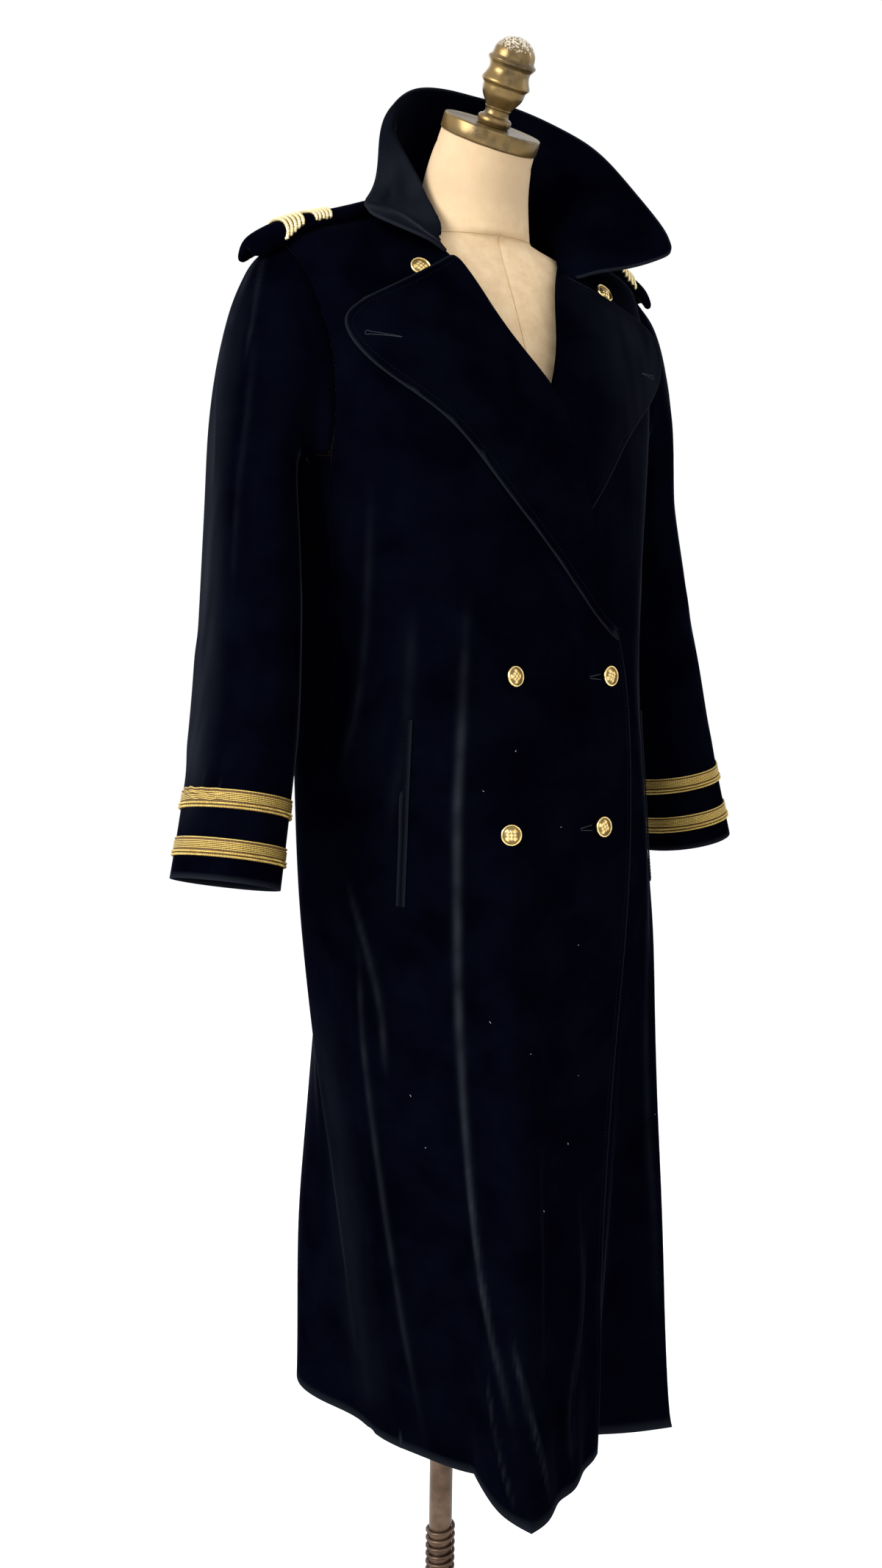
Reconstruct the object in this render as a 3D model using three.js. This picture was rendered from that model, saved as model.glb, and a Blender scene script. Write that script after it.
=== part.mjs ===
// A long double-breasted velvet coat, worn by a limbless dress form on a pole and round base.
// Millimetres, +Z up, the coat's front faces -Y, the wearer's right is -X.
// The origin lies on the floor under the pole.
import * as THREE from "three";

// ---- driving sizes -----------------------------------------------------------------
const WALL = 2;               // velvet with its backing
const LEAF = 2.6;             // lapels: two layers pressed together
const COLLAR_WALL = 3;        // collar: two layers with interlining
const GAP = 0.4;              // clear space at a seam or between layers
const LAP = 8;              // how far the right front rides up where it laps over the left

const HEM_FRONT = 345;        // height of the hem, front and back
const HEM_BACK = 367;
const SKIRT_X = 20;           // middle of the hem ring
const SKIRT_Y = -55;
const FALL = 1.15;            // how the skirt eases from the hips into its hem folds
const UNDERARM = 1466;
const BREAK = 1272;           // where the lapel starts to roll
const SHOULDER_TIP = 1697;
const NECK_SIDE = 1747;
const SEAM_TURN = 0.05;       // degrees left open on each side of a seam

const BUTTON = { radius: 11, rim: 1.6, depth: 5.5, stem: 2.4, seat: 3.4 };
const BRAID = { wide: 18, deep: 1.2 };
const EPAULETTE = { wide: 55, deep: 8, from: 134, to: 263, tip: 226 };
const WELT = { top: 1198, bottom: 998, turn: 46.2, lean: 3, wide: 4.6, deep: 2, clear: 1.6 };
const POLE_RADIUS = 14.25;
const BASE = { radius: 150, edge: 14, crown: 30 };
const HUB = { radius: 26, top: 84 };
const SPRING = { outer: 18.5, wire: 3, top: 185, turns: 9, sides: 5, steps: 9 };

// ---- tables -----------------------------------------------------------------
// The coat's body: half width, reach to the front and back, squareness, shift to the left.
const BODY = [
  { height: 340, half: 208, front: 222, back: 180, square: 2.3, shift: 14 },
  { height: 990, half: 208, front: 220, back: 112, square: 2.3, shift: 14 },
  { height: 1130, half: 203, front: 210, back: 113, square: 2.3, shift: 8 },
  { height: 1240, half: 202, front: 200, back: 118, square: 2.35, shift: 4 },
  { height: 1370, half: 208, front: 192, back: 126, square: 2.4, shift: 0 },
  { height: 1478, half: 219, front: 184, back: 134, square: 2.4, shift: 0 },
  { height: 1568, half: 231, front: 164, back: 132, square: 2.4, shift: 0 },
  { height: 1632, half: 236, front: 132, back: 120, square: 2.3, shift: 0 },
  { height: 1672, half: 237, front: 106, back: 102, square: 2.2, shift: 0 },
  { height: 1697, half: 231, front: 84, back: 84, square: 2.1, shift: 0 },
  { height: 1724, half: 152, front: 62, back: 62, square: 2, shift: 0 },
  { height: 1747, half: 90, front: 46, back: 50, square: 2, shift: 0 },
  { height: 1775, half: 50, front: 36, back: 44, square: 2, shift: 0 },
];
// The skirt's folds, one row for each crest or trough of the hem: its direction round the
// hem's middle, its reach there, and the height where it starts to form.
const FOLDS = [
  { turn: -180, reach: 232, start: 1100 },
  { turn: -139, reach: 240, start: 1300 },
  { turn: -104, reach: 146, start: 1000 },
  { turn: -62, reach: 127, start: 980 },
  { turn: -37, reach: 129, start: 980 },
  { turn: -21.5, reach: 243, start: 1330 },
  { turn: -8, reach: 190, start: 1000 },
  { turn: 13, reach: 156, start: 1000 },
  { turn: 38, reach: 142, start: 1000 },
  { turn: 50, reach: 228, start: 1100 },
  { turn: 74, reach: 192, start: 1000 },
  { turn: 100, reach: 186, start: 980 },
  { turn: 128, reach: 212, start: 950 },
  { turn: 155, reach: 218, start: 950 },
  { turn: 180, reach: 232, start: 1100 },
];
// The side seam, from the hem to the underarm, as a turn away from the front.
const SIDE_SEAM = [
  { height: HEM_FRONT, turn: 77 },
  { height: 956, turn: 76 },
  { height: 1037, turn: 81 },
  { height: 1136, turn: 78 },
  { height: 1240, turn: 70 },
  { height: UNDERARM, turn: 70 },
];
// The armhole from the underarm up the front, and from there down the back.
const ARMHOLE_FRONT = [
  { turn: 70, height: UNDERARM },
  { turn: 66.8, height: 1503 },
  { turn: 66.8, height: 1546 },
  { turn: 68, height: 1579 },
  { turn: 71.5, height: 1610 },
  { turn: 76, height: 1649 },
  { turn: 81.5, height: 1676 },
  { turn: 90, height: SHOULDER_TIP },
];
const ARMHOLE_BACK = [
  { turn: 70, height: UNDERARM },
  { turn: 82, height: 1467 },
  { turn: 94, height: 1472 },
  { turn: 103, height: 1492 },
  { turn: 109, height: 1535 },
  { turn: 109, height: 1585 },
  { turn: 103, height: 1645 },
  { turn: 90, height: SHOULDER_TIP },
];
// The right front's free edge below the break, and both lapels' roll lines above it.
const FRONT_EDGE = [
  { height: HEM_FRONT, turn: 24 },
  { height: 610, turn: 16 },
  { height: 870, turn: 17.5 },
  { height: 1104, turn: 25 },
  { height: 1215, turn: 29 },
  { height: BREAK, turn: 27 },
];
const LAPEL = [
  { rollTurn: 27, rollHeight: BREAK, leftTurn: 27, edgeTurn: 25.5, edgeHeight: 1272 },
  { rollTurn: 22.4, rollHeight: 1308, leftTurn: 22.4, edgeTurn: 17, edgeHeight: 1290 },
  { rollTurn: 18.5, rollHeight: 1345, leftTurn: 18.5, edgeTurn: 7.5, edgeHeight: 1328 },
  { rollTurn: 15.7, rollHeight: 1376, leftTurn: 15.7, edgeTurn: 0, edgeHeight: 1361 },
  { rollTurn: 12.5, rollHeight: 1420, leftTurn: 12, edgeTurn: -10, edgeHeight: 1398 },
  { rollTurn: 9.7, rollHeight: 1461, leftTurn: 8, edgeTurn: -18.5, edgeHeight: 1429 },
  { rollTurn: 5.7, rollHeight: 1512, leftTurn: 2, edgeTurn: -26, edgeHeight: 1462 },
  { rollTurn: -1, rollHeight: 1545, leftTurn: -3, edgeTurn: -35, edgeHeight: 1499 },
  { rollTurn: -9, rollHeight: 1571, leftTurn: -7, edgeTurn: -45, edgeHeight: 1525 },
  { rollTurn: -18, rollHeight: 1603, leftTurn: -12, edgeTurn: -55, edgeHeight: 1551 },
  { rollTurn: -25, rollHeight: 1636, leftTurn: -18, edgeTurn: -62.5, edgeHeight: 1581 },
  { rollTurn: -31, rollHeight: 1658, leftTurn: -24, edgeTurn: -64.5, edgeHeight: 1602 },
  { rollTurn: -37, rollHeight: 1674, leftTurn: -31, edgeTurn: -60, edgeHeight: 1617 },
];
// The neckline from the top of the roll line to the side of the neck.
const NECKLINE = [
  { turn: 37, leftTurn: 31, height: 1674 },
  { turn: 47, leftTurn: 44, height: 1694 },
  { turn: 62, leftTurn: 60, height: 1724 },
  { turn: 90, leftTurn: 90, height: NECK_SIDE },
];
// The collar, turned up: a row for each section from the right end round the back to the
// left end. Its seam lies on the neckline; the middle and the free edge stand off it.
const COLLAR = [
  { turn: -37, height: 1672, off: 13, midX: -122, midY: -106, midZ: 1694, x: -160, y: -70, z: 1716 },
  { turn: -52, height: 1706, off: 6, midX: -66, midY: -62, midZ: 1722, x: -118, y: -14, z: 1749 },
  { turn: -72, height: 1736, off: 1, midX: -72, midY: -26, midZ: 1772, x: -104, y: 4, z: 1790 },
  { turn: -95, height: 1748, off: 1, midX: -82, midY: 2, midZ: 1806, x: -90, y: 18, z: 1840 },
  { turn: -130, height: 1750, off: 1, midX: -70, midY: 33, midZ: 1815, x: -56, y: 16, z: 1878 },
  { turn: -180, height: 1748, off: 1, midX: 2, midY: 52, midZ: 1820, x: 4, y: 24, z: 1888 },
  { turn: -225, height: 1750, off: 1, midX: 58, midY: 42, midZ: 1820, x: 72, y: 32, z: 1888 },
  { turn: -255, height: 1749, off: 1, midX: 96, midY: 24, midZ: 1812, x: 145, y: 15, z: 1867 },
  { turn: -275, height: 1746, off: 1, midX: 112, midY: -4, midZ: 1796, x: 176, y: -8, z: 1845 },
  { turn: -292, height: 1732, off: 1, midX: 118, midY: -36, midZ: 1776, x: 196, y: -38, z: 1810 },
  { turn: -306, height: 1710, off: 2, midX: 120, midY: -72, midZ: 1746, x: 202, y: -82, z: 1766 },
  { turn: -318, height: 1690, off: 5, midX: 126, midY: -106, midZ: 1712, x: 199, y: -120, z: 1731 },
  { turn: -326, height: 1666, off: 12, midX: 130, midY: -140, midZ: 1682, x: 188, y: -146, z: 1703 },
];
// The sleeve hangs forward and away from the body: middle and half sizes of its sections.
const SLEEVE = [
  { height: 1440, x: 262, y: -6, leftY: 16, halfX: 41, halfY: 74 },
  { height: 1350, x: 267, y: -18, leftY: 4, halfX: 47, halfY: 77 },
  { height: 1250, x: 276, y: -31, leftY: -16, halfX: 50, halfY: 76 },
  { height: 1150, x: 291, y: -45, leftY: -29, halfX: 51, halfY: 75 },
  { height: 1090, x: 304, y: -54, leftY: -32, halfX: 52, halfY: 75 },
  { height: 1024, x: 319, y: -64, leftY: -36, halfX: 53, halfY: 76 },
];
const CUFF_BRAIDS = [23, 71];            // height of each braid's lower edge above the cuff's hem
const EPAULETTE_BRAIDS = [188, 221];     // distance of each braid's middle from the coat's middle
// The dress form: half width, reach to front and back, squareness of its body sections.
const FORM = [
  { height: 945, half: 150, front: 158, back: 60, square: 2.2 },
  { height: 1000, half: 180, front: 176, back: 84, square: 2.2 },
  { height: 1120, half: 172, front: 168, back: 88, square: 2.2 },
  { height: 1250, half: 150, front: 148, back: 88, square: 2.2 },
  { height: 1370, half: 162, front: 154, back: 100, square: 2.2 },
  { height: 1478, half: 178, front: 166, back: 112, square: 2.2 },
  { height: 1540, half: 188, front: 152, back: 112, square: 2.2 },
  { height: 1600, half: 196, front: 128, back: 106, square: 2.2 },
  { height: 1640, half: 200, front: 110, back: 92, square: 2.2 },
  { height: 1668, half: 196, front: 95, back: 76, square: 2.1 },
  { height: 1686, half: 176, front: 86, back: 62, square: 2 },
  { height: 1700, half: 138, front: 80, back: 46, square: 2 },
  { height: 1710, half: 94, front: 77, back: 40, square: 2 },
];
// Its neck bends forward: middle, radius and tilt of each ring.
const NECK = [
  { y: -21, z: 1716, radius: 67, tilt: 5 },
  { y: -28, z: 1750, radius: 62, tilt: 12 },
  { y: -38, z: 1784, radius: 57, tilt: 19 },
  { y: -50, z: 1812, radius: 53, tilt: 24 },
];
const CAP = { y: -50.2, z: 1812.4, radius: 54.5, deep: 17, tilt: 24 };
const FINIAL = [
  { radius: 17.5, along: 0 },
  { radius: 17.5, along: 5 },
  { radius: 14, along: 8 },
  { radius: 13.5, along: 16 },
  { radius: 18, along: 20 },
  { radius: 24, along: 27 },
  { radius: 26.5, along: 36 },
  { radius: 25.5, along: 46 },
  { radius: 21, along: 52 },
  { radius: 20, along: 55 },
  { radius: 22.5, along: 60 },
  { radius: 23.5, along: 70 },
  { radius: 21, along: 80 },
  { radius: 14, along: 87 },
];

// ---- small mathematics -----------------------------------------------------------------
const toRad = THREE.MathUtils.degToRad;
const lerp = THREE.MathUtils.lerp;
const point = (x, y, z) => new THREE.Vector3(x, y, z);

// A column of a table at any place along its key column, without overshoot.
function smooth(rows, key, at, column) {
  const last = rows.length - 1;
  const up = rows[last][key] > rows[0][key] ? 1 : -1;
  if ((at - rows[0][key]) * up <= 0) return rows[0][column];
  if ((at - rows[last][key]) * up >= 0) return rows[last][column];
  let i = 0;
  while ((at - rows[i + 1][key]) * up > 0) i += 1;
  const slope = (k) => (rows[k + 1][column] - rows[k][column]) / (rows[k + 1][key] - rows[k][key]);
  const tangent = (k) => {
    if (k === 0) return slope(0);
    if (k === last) return slope(last - 1);
    const before = slope(k - 1);
    const after = slope(k);
    return before * after <= 0 ? 0 : (2 * before * after) / (before + after);
  };
  const span = rows[i + 1][key] - rows[i][key];
  const t = (at - rows[i][key]) / span;
  const a = rows[i][column];
  const b = rows[i + 1][column];
  return (
    a * (1 + 2 * t) * (1 - t) ** 2 +
    tangent(i) * span * t * (1 - t) ** 2 +
    b * t * t * (3 - 2 * t) +
    tangent(i + 1) * span * t * t * (t - 1)
  );
}

// The same for rows taken one after another: place 1.5 lies half-way from row 1 to row 2.
function between(rows, place, column) {
  const numbered = rows.map((row, order) => ({ ...row, order }));
  return smooth(numbered, "order", place, column);
}

function ease(from, to, at) {
  return THREE.MathUtils.smoothstep(at, from, to);
}

// ---- the coat's surface -----------------------------------------------------------------
// A place on it is a turn, in degrees from the front towards the wearer's left, and a height.
function foldAt(turn, column) {
  const around = THREE.MathUtils.euclideanModulo(turn + 180, 360) - 180;
  let i = 0;
  while (i < FOLDS.length - 2 && around > FOLDS[i + 1].turn) i += 1;
  const t = (around - FOLDS[i].turn) / (FOLDS[i + 1].turn - FOLDS[i].turn);
  return lerp(FOLDS[i][column], FOLDS[i + 1][column], (1 - Math.cos(Math.PI * t)) / 2);
}

function hemHeight(turn) {
  return lerp(HEM_FRONT, HEM_BACK, (1 - Math.cos(toRad(turn))) / 2);
}

function sectionPoint(half, depth, square, turn) {
  const s = Math.sin(toRad(turn));
  const c = Math.cos(toRad(turn));
  const reach = ((Math.abs(s) / half) ** square + (Math.abs(c) / depth) ** square) ** (-1 / square);
  return [reach * s, -reach * c];
}

function skin(turn, height) {
  const at = (column) => smooth(BODY, "height", height, column);
  const depth = Math.cos(toRad(turn)) > 0 ? at("front") : at("back");
  const [x, y] = sectionPoint(at("half"), depth, at("square"), turn);
  const body = point(x + at("shift"), y, height);
  const start = foldAt(turn, "start");
  const fallen = THREE.MathUtils.clamp((start - height) / (start - hemHeight(turn)), 0, 1);
  const reach = foldAt(turn, "reach");
  const skirt = point(
    SKIRT_X + reach * Math.sin(toRad(turn)),
    SKIRT_Y - reach * Math.cos(toRad(turn)),
    height,
  );
  return body.lerp(skirt, fallen ** FALL);
}

function coat(turn, height, out = 0) {
  const here = skin(turn, height);
  const along = skin(turn + 0.5, height).sub(skin(turn - 0.5, height));
  const up = skin(turn, height + 1).sub(skin(turn, height - 1));
  return here.addScaledVector(along.cross(up).normalize(), out);
}

// ---- walls from grids of points -----------------------------------------------------------------
// Both faces are grids of points, rows upwards and columns to the right seen from outside.
function closedWall(outer, inner, ringed = false) {
  const rows = outer.length;
  const columns = outer[0].length;
  const positions = [];
  for (const grid of [outer, inner]) {
    for (const line of grid) for (const p of line) positions.push(p.x, p.y, p.z);
  }
  const indices = [];
  const outside = (j, i) => j * columns + (i % columns);
  const inside = (j, i) => rows * columns + outside(j, i);
  const quad = (a, b, c, d) => indices.push(a, b, c, a, c, d);
  const across = ringed ? columns : columns - 1;
  for (let j = 0; j < rows - 1; j += 1) {
    for (let i = 0; i < across; i += 1) {
      quad(outside(j, i), outside(j, i + 1), outside(j + 1, i + 1), outside(j + 1, i));
      quad(inside(j, i), inside(j + 1, i), inside(j + 1, i + 1), inside(j, i + 1));
    }
    if (!ringed) {
      quad(outside(j, 0), outside(j + 1, 0), inside(j + 1, 0), inside(j, 0));
      quad(outside(j + 1, across), outside(j, across), inside(j, across), inside(j + 1, across));
    }
  }
  const top = rows - 1;
  for (let i = 0; i < across; i += 1) {
    quad(outside(0, i + 1), outside(0, i), inside(0, i), inside(0, i + 1));
    quad(outside(top, i), outside(top, i + 1), inside(top, i + 1), inside(top, i));
  }
  const geometry = new THREE.BufferGeometry();
  geometry.setAttribute("position", new THREE.Float32BufferAttribute(positions, 3));
  geometry.setIndex(indices);
  geometry.computeVertexNormals();
  return geometry;
}

// A grid moved along its own normals, for walls that leave the coat's surface.
function movedOut(grid, out, ringed = false) {
  const rows = grid.length;
  const columns = grid[0].length;
  const column = (i) => (ringed ? (i + columns) % columns : Math.min(Math.max(i, 0), columns - 1));
  return grid.map((line, j) =>
    line.map((p, i) => {
      const along = grid[j][column(i + 1)].clone().sub(grid[j][column(i - 1)]);
      const up = grid[Math.min(j + 1, rows - 1)][i].clone().sub(grid[Math.max(j - 1, 0)][i]);
      return p.clone().addScaledVector(along.cross(up).normalize(), out);
    }),
  );
}

function mirrored(grid) {
  return grid.map((line) => line.map((p) => point(-p.x, p.y, p.z)).reverse());
}

// ---- materials -----------------------------------------------------------------
const material = (color, roughness, metalness = 0) =>
  new THREE.MeshStandardMaterial({ color, roughness, metalness });
const VELVET = material("#14182a", 0.85);
const GOLD_BRAID = material("#c9a550", 0.45, 0.6);
const GILT = material("#c8a24a", 0.3, 0.9);
const LINEN = material("#efe6d4", 0.9);
const BRONZE = material("#6f6552", 0.5, 0.7);

const garment = new THREE.Group();

function add(name, geometry, surface) {
  const mesh = new THREE.Mesh(geometry, surface);
  mesh.name = name;
  garment.add(mesh);
  return mesh;
}

// ---- body panels -----------------------------------------------------------------
const LOWER_ROWS = 11;
const UPPER_ROWS = 9;
const PANEL_ROWS = LOWER_ROWS + UPPER_ROWS;
const LOWER_STEPS = Array.from({ length: LOWER_ROWS }, (_, k) => k / LOWER_ROWS);

// Turns of a panel's columns: each fold's crest or trough, and evenly between them.
function columnTurns(from, to, widest) {
  const marks = [from];
  for (const fold of [...FOLDS, ...FOLDS.map((f) => ({ turn: f.turn + 360 }))]) {
    if (fold.turn > marks.at(-1) + 4 && fold.turn < to - 4) marks.push(fold.turn);
  }
  marks.push(to);
  const turns = [];
  for (let k = 0; k < marks.length - 1; k += 1) {
    const parts = Math.max(1, Math.ceil((marks[k + 1] - marks[k]) / widest));
    for (let part = 0; part < parts; part += 1) turns.push(lerp(marks[k], marks[k + 1], part / parts));
  }
  return [...turns, to];
}

// Places on a side of a panel, from the hem up: a lower line and the armhole or the neck.
function sideLine(side, armhole, clear) {
  const lower = LOWER_STEPS.map((step) => {
    const turn = smooth(SIDE_SEAM, "height", lerp(HEM_FRONT, UNDERARM, step), "turn") + clear;
    const hem = hemHeight(turn);
    return { turn: side * turn, height: lerp(hem, UNDERARM, step) };
  });
  const upper = Array.from({ length: UPPER_ROWS + 1 }, (_, k) => {
    const place = (k / UPPER_ROWS) * (armhole.length - 1);
    const shoulder = k === UPPER_ROWS;
    return {
      turn: side * (between(armhole, place, "turn") + (shoulder ? 2 * clear : clear)),
      height: between(armhole, place, "height"),
    };
  });
  return [...lower, ...upper];
}

function openingLine(side) {
  const roll = side < 0 ? "rollTurn" : "leftTurn";
  const neck = side < 0 ? "turn" : "leftTurn";
  const lower = LOWER_STEPS.map((step) => {
    const height = lerp(HEM_FRONT, UNDERARM, step);
    const edge = smooth(FRONT_EDGE, "height", height, "turn");
    const turn = height < BREAK ? edge : smooth(LAPEL, "rollHeight", height, roll);
    return { turn: -side * turn, height };
  });
  const neckRows = 4;
  const rollRows = UPPER_ROWS - neckRows;
  const rollTop = NECKLINE[0].height;
  const upper = [];
  for (let k = 0; k < rollRows; k += 1) {
    const height = lerp(UNDERARM, rollTop, k / rollRows);
    upper.push({ turn: -side * smooth(LAPEL, "rollHeight", height, roll), height });
  }
  for (let k = 0; k <= neckRows; k += 1) {
    const place = (k / neckRows) * (NECKLINE.length - 1);
    upper.push({ turn: side * between(NECKLINE, place, neck), height: between(NECKLINE, place, "height") });
  }
  return [...lower, ...upper];
}

// Fills the space between two lines of equal length, bent to meet a top line. In the skirt the
// columns hang straight down, so that one follows each fold.
function fillPanel(left, right, turns, top, out) {
  const first = turns[0];
  const last = turns.at(-1);
  const outer = [];
  const inner = [];
  for (let j = 0; j <= PANEL_ROWS; j += 1) {
    const v = j / PANEL_ROWS;
    const stiff = lerp(3, 1, ease(900, UNDERARM, (left[j].height + right[j].height) / 2));
    const places = turns.map((mark) => {
      const u = (mark - first) / (last - first);
      const bend = top(u);
      const fromLeft = (left[j].turn - first) * (1 - u) ** stiff;
      const fromRight = (right[j].turn - last) * u ** stiff;
      const straight = lerp(left[PANEL_ROWS].turn, right[PANEL_ROWS].turn, u);
      const level = lerp(left[PANEL_ROWS].height, right[PANEL_ROWS].height, u);
      const turn = mark + fromLeft + fromRight + v ** 3 * (bend.turn - straight);
      const height = lerp(left[j].height, right[j].height, u) + v ** 3 * (bend.height - level);
      return { turn, height: j === 0 ? hemHeight(turn) : height };
    });
    outer.push(places.map((at) => coat(at.turn, at.height, out(at))));
    inner.push(places.map((at) => coat(at.turn, at.height, out(at) - WALL)));
  }
  return closedWall(outer, inner);
}

// The shoulder seam runs straight from the neck's side to the shoulder tip.
const shoulderHeight = (t) => {
  const x = lerp(90, 231, t);
  const rows = BODY.filter((row) => row.height >= SHOULDER_TIP).map((row) => ({ ...row, x: row.half }));
  return smooth(rows, "x", x, "height");
};

const rightLift = ({ turn }) => LAP * ease(-58, -26, turn);

function frontPanel(side) {
  const seam = sideLine(side, ARMHOLE_FRONT, -SEAM_TURN);
  const opening = openingLine(side);
  const widest = 6;
  if (side < 0) {
    const top = (u) => ({ turn: -90 + 2 * SEAM_TURN, height: shoulderHeight(1 - u) });
    opening.at(-1).turn = -90 + 2 * SEAM_TURN;
    return fillPanel(seam, opening, columnTurns(seam[0].turn, opening[0].turn, widest), top, rightLift);
  }
  const top = (u) => ({ turn: 90 - 2 * SEAM_TURN, height: shoulderHeight(u) });
  opening.at(-1).turn = 90 - 2 * SEAM_TURN;
  return fillPanel(opening, seam, columnTurns(opening[0].turn, seam[0].turn, widest), top, () => 0);
}

function backPanel() {
  const left = sideLine(1, ARMHOLE_BACK, SEAM_TURN);
  const right = sideLine(-1, ARMHOLE_BACK, SEAM_TURN).map((at) => ({ ...at, turn: at.turn + 360 }));
  const shoulderShare = 0.3;
  const top = (u) => {
    const near = Math.min(u, 1 - u);
    const ridge = 90 + 2 * SEAM_TURN;
    if (near <= shoulderShare) {
      const height = shoulderHeight(1 - near / shoulderShare);
      return { turn: u < 0.5 ? ridge : 360 - ridge, height };
    }
    const across = (u - shoulderShare) / (1 - 2 * shoulderShare);
    return { turn: lerp(ridge, 360 - ridge, across), height: NECK_SIDE };
  };
  return fillPanel(left, right, columnTurns(left[0].turn, right[0].turn, 9), top, () => 0);
}

add("front_right", frontPanel(-1), VELVET);
add("front_left", frontPanel(1), VELVET);
add("back", backPanel(), VELVET);

// ---- lapels -----------------------------------------------------------------
// Each lies on its own front, from the roll line to its free edge, a little off the cloth.
const LAPEL_COLUMNS = 6;
const LAY = 1;                // clear space under a lapel
const LEFT_LAPEL_FIRST = 3;

function lapel(side) {
  const base = side < 0 ? LAP : 0;
  const roll = side < 0 ? "rollTurn" : "leftTurn";
  const outer = [];
  const inner = [];
  // Below the crossing the left lapel is under the right front, so it ends a little way in.
  LAPEL.forEach((row, j) => {
    if (side > 0 && j < LEFT_LAPEL_FIRST) return;
    const stand = side < 0 ? 5 * ease(1, 8, j) : 13 * ease(7, 10.5, j);
    const start = { turn: side * -row[roll], height: row.rollHeight };
    const end = { turn: side * -row.edgeTurn, height: row.edgeHeight };
    const lines = [[], []];
    for (let i = 0; i <= LAPEL_COLUMNS; i += 1) {
      const t = i / LAPEL_COLUMNS;
      const turn = lerp(start.turn, end.turn, t);
      const height = lerp(start.height, end.height, t);
      const lift = base + LAY + stand * (0.3 + 0.7 * t) * ease(-0.1, 0.4, t);
      lines[0].push(coat(turn, height, lift + LEAF));
      lines[1].push(coat(turn, height, lift));
    }
    outer.push(side < 0 ? lines[0].reverse() : lines[0]);
    inner.push(side < 0 ? lines[1].reverse() : lines[1]);
  });
  return closedWall(outer, inner);
}

add("lapel_right", lapel(-1), VELVET);
add("lapel_left", lapel(1), VELVET);

// ---- collar -----------------------------------------------------------------
const COLLAR_STEPS = 2;
const COLLAR_RISE = 6;

function collar() {
  const outer = Array.from({ length: COLLAR_RISE + 1 }, () => []);
  const places = (COLLAR.length - 1) * COLLAR_STEPS;
  for (let i = 0; i <= places; i += 1) {
    const at = (column) => between(COLLAR, i / COLLAR_STEPS, column);
    const seam = coat(at("turn"), at("height") + 2, at("off"));
    const middle = point(at("midX"), at("midY"), at("midZ"));
    const edge = point(at("x"), at("y"), at("z"));
    for (let j = 0; j <= COLLAR_RISE; j += 1) {
      const t = j / COLLAR_RISE;
      const p = seam.clone().multiplyScalar((1 - t) * (1 - 2 * t));
      p.addScaledVector(middle, 4 * t * (1 - t));
      outer[j].push(p.addScaledVector(edge, t * (2 * t - 1)));
    }
  }
  for (const line of outer) line.reverse();
  return closedWall(outer, movedOut(outer, -COLLAR_WALL));
}

add("collar", collar(), VELVET);

// ---- sleeves -----------------------------------------------------------------
const SLEEVE_COLUMNS = 2 * UPPER_ROWS;
const HEAD_ROWS = 5;
const ARM_ROWS = 8;

// The armhole from the shoulder tip down the front and up the back, at the panels' own rows,
// drawn in a little towards its middle so that the seam stays open.
function armholeLoop() {
  const middle = { turn: 88, height: 1580 };
  const clear = 0.992;
  const placeOn = (table, k) => {
    const place = (k / UPPER_ROWS) * (table.length - 1);
    const turn = lerp(middle.turn, between(table, place, "turn"), clear);
    return coat(turn, lerp(middle.height, between(table, place, "height"), clear));
  };
  const loop = [];
  for (let k = UPPER_ROWS; k > 0; k -= 1) loop.push(placeOn(ARMHOLE_FRONT, k));
  for (let k = 0; k < UPPER_ROWS; k += 1) loop.push(placeOn(ARMHOLE_BACK, k));
  return loop;
}

function sleeveRing(height, forward) {
  const at = (column) => smooth(SLEEVE, "height", height, column);
  const step = 10;
  const low = Math.max(height - step, SLEEVE.at(-1).height);
  const high = low + 2 * step;
  const lean = (column) =>
    (smooth(SLEEVE, "height", high, column) - smooth(SLEEVE, "height", low, column)) / (high - low);
  return Array.from({ length: SLEEVE_COLUMNS }, (_, k) => {
    const angle = (k / SLEEVE_COLUMNS) * 2 * Math.PI;
    const dx = at("halfX") * Math.cos(angle);
    const dy = -at("halfY") * Math.sin(angle);
    return point(at("x") + dx, at(forward) + dy, height - dx * lean("x") - dy * lean(forward));
  });
}

function sleeveGrid(forward) {
  const loop = armholeLoop();
  const firstRing = sleeveRing(SLEEVE[0].height, forward);
  const grid = [];
  for (let j = ARM_ROWS; j > 0; j -= 1) {
    grid.push(sleeveRing(lerp(SLEEVE[0].height, SLEEVE.at(-1).height, j / ARM_ROWS), forward));
  }
  for (let j = HEAD_ROWS; j >= 0; j -= 1) {
    grid.push(
      loop.map((start, k) => {
        const angle = (k / SLEEVE_COLUMNS) * 2 * Math.PI;
        const reach = start.distanceTo(firstRing[k]);
        const leave = point(0.85 + 0.25 * Math.cos(angle), -0.2 * Math.sin(angle), -0.4).normalize();
        const arrive = point(0, 0.06, 1);
        const curve = new THREE.CubicBezierCurve3(
          start,
          start.clone().addScaledVector(leave, 0.22 * reach),
          firstRing[k].clone().addScaledVector(arrive, 0.45 * reach),
          firstRing[k],
        );
        return curve.getPoint(j / HEAD_ROWS);
      }),
    );
  }
  return grid;
}

// Laid out for the left arm; the right arm's is the mirror image, a little further forward.
function sleeveFor(side, makeGrid) {
  const grid = makeGrid(side < 0 ? "y" : "leftY").map((line) => line.reverse());
  return side < 0 ? mirrored(grid) : grid;
}

function cuffBraid(side, above) {
  const grid = sleeveFor(side, (forward) =>
    [0, BRAID.wide].map((up) => sleeveRing(SLEEVE.at(-1).height + above + up, forward)),
  );
  const clear = 2 * GAP;
  return closedWall(movedOut(grid, clear + BRAID.deep, true), movedOut(grid, clear, true), true);
}

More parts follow.
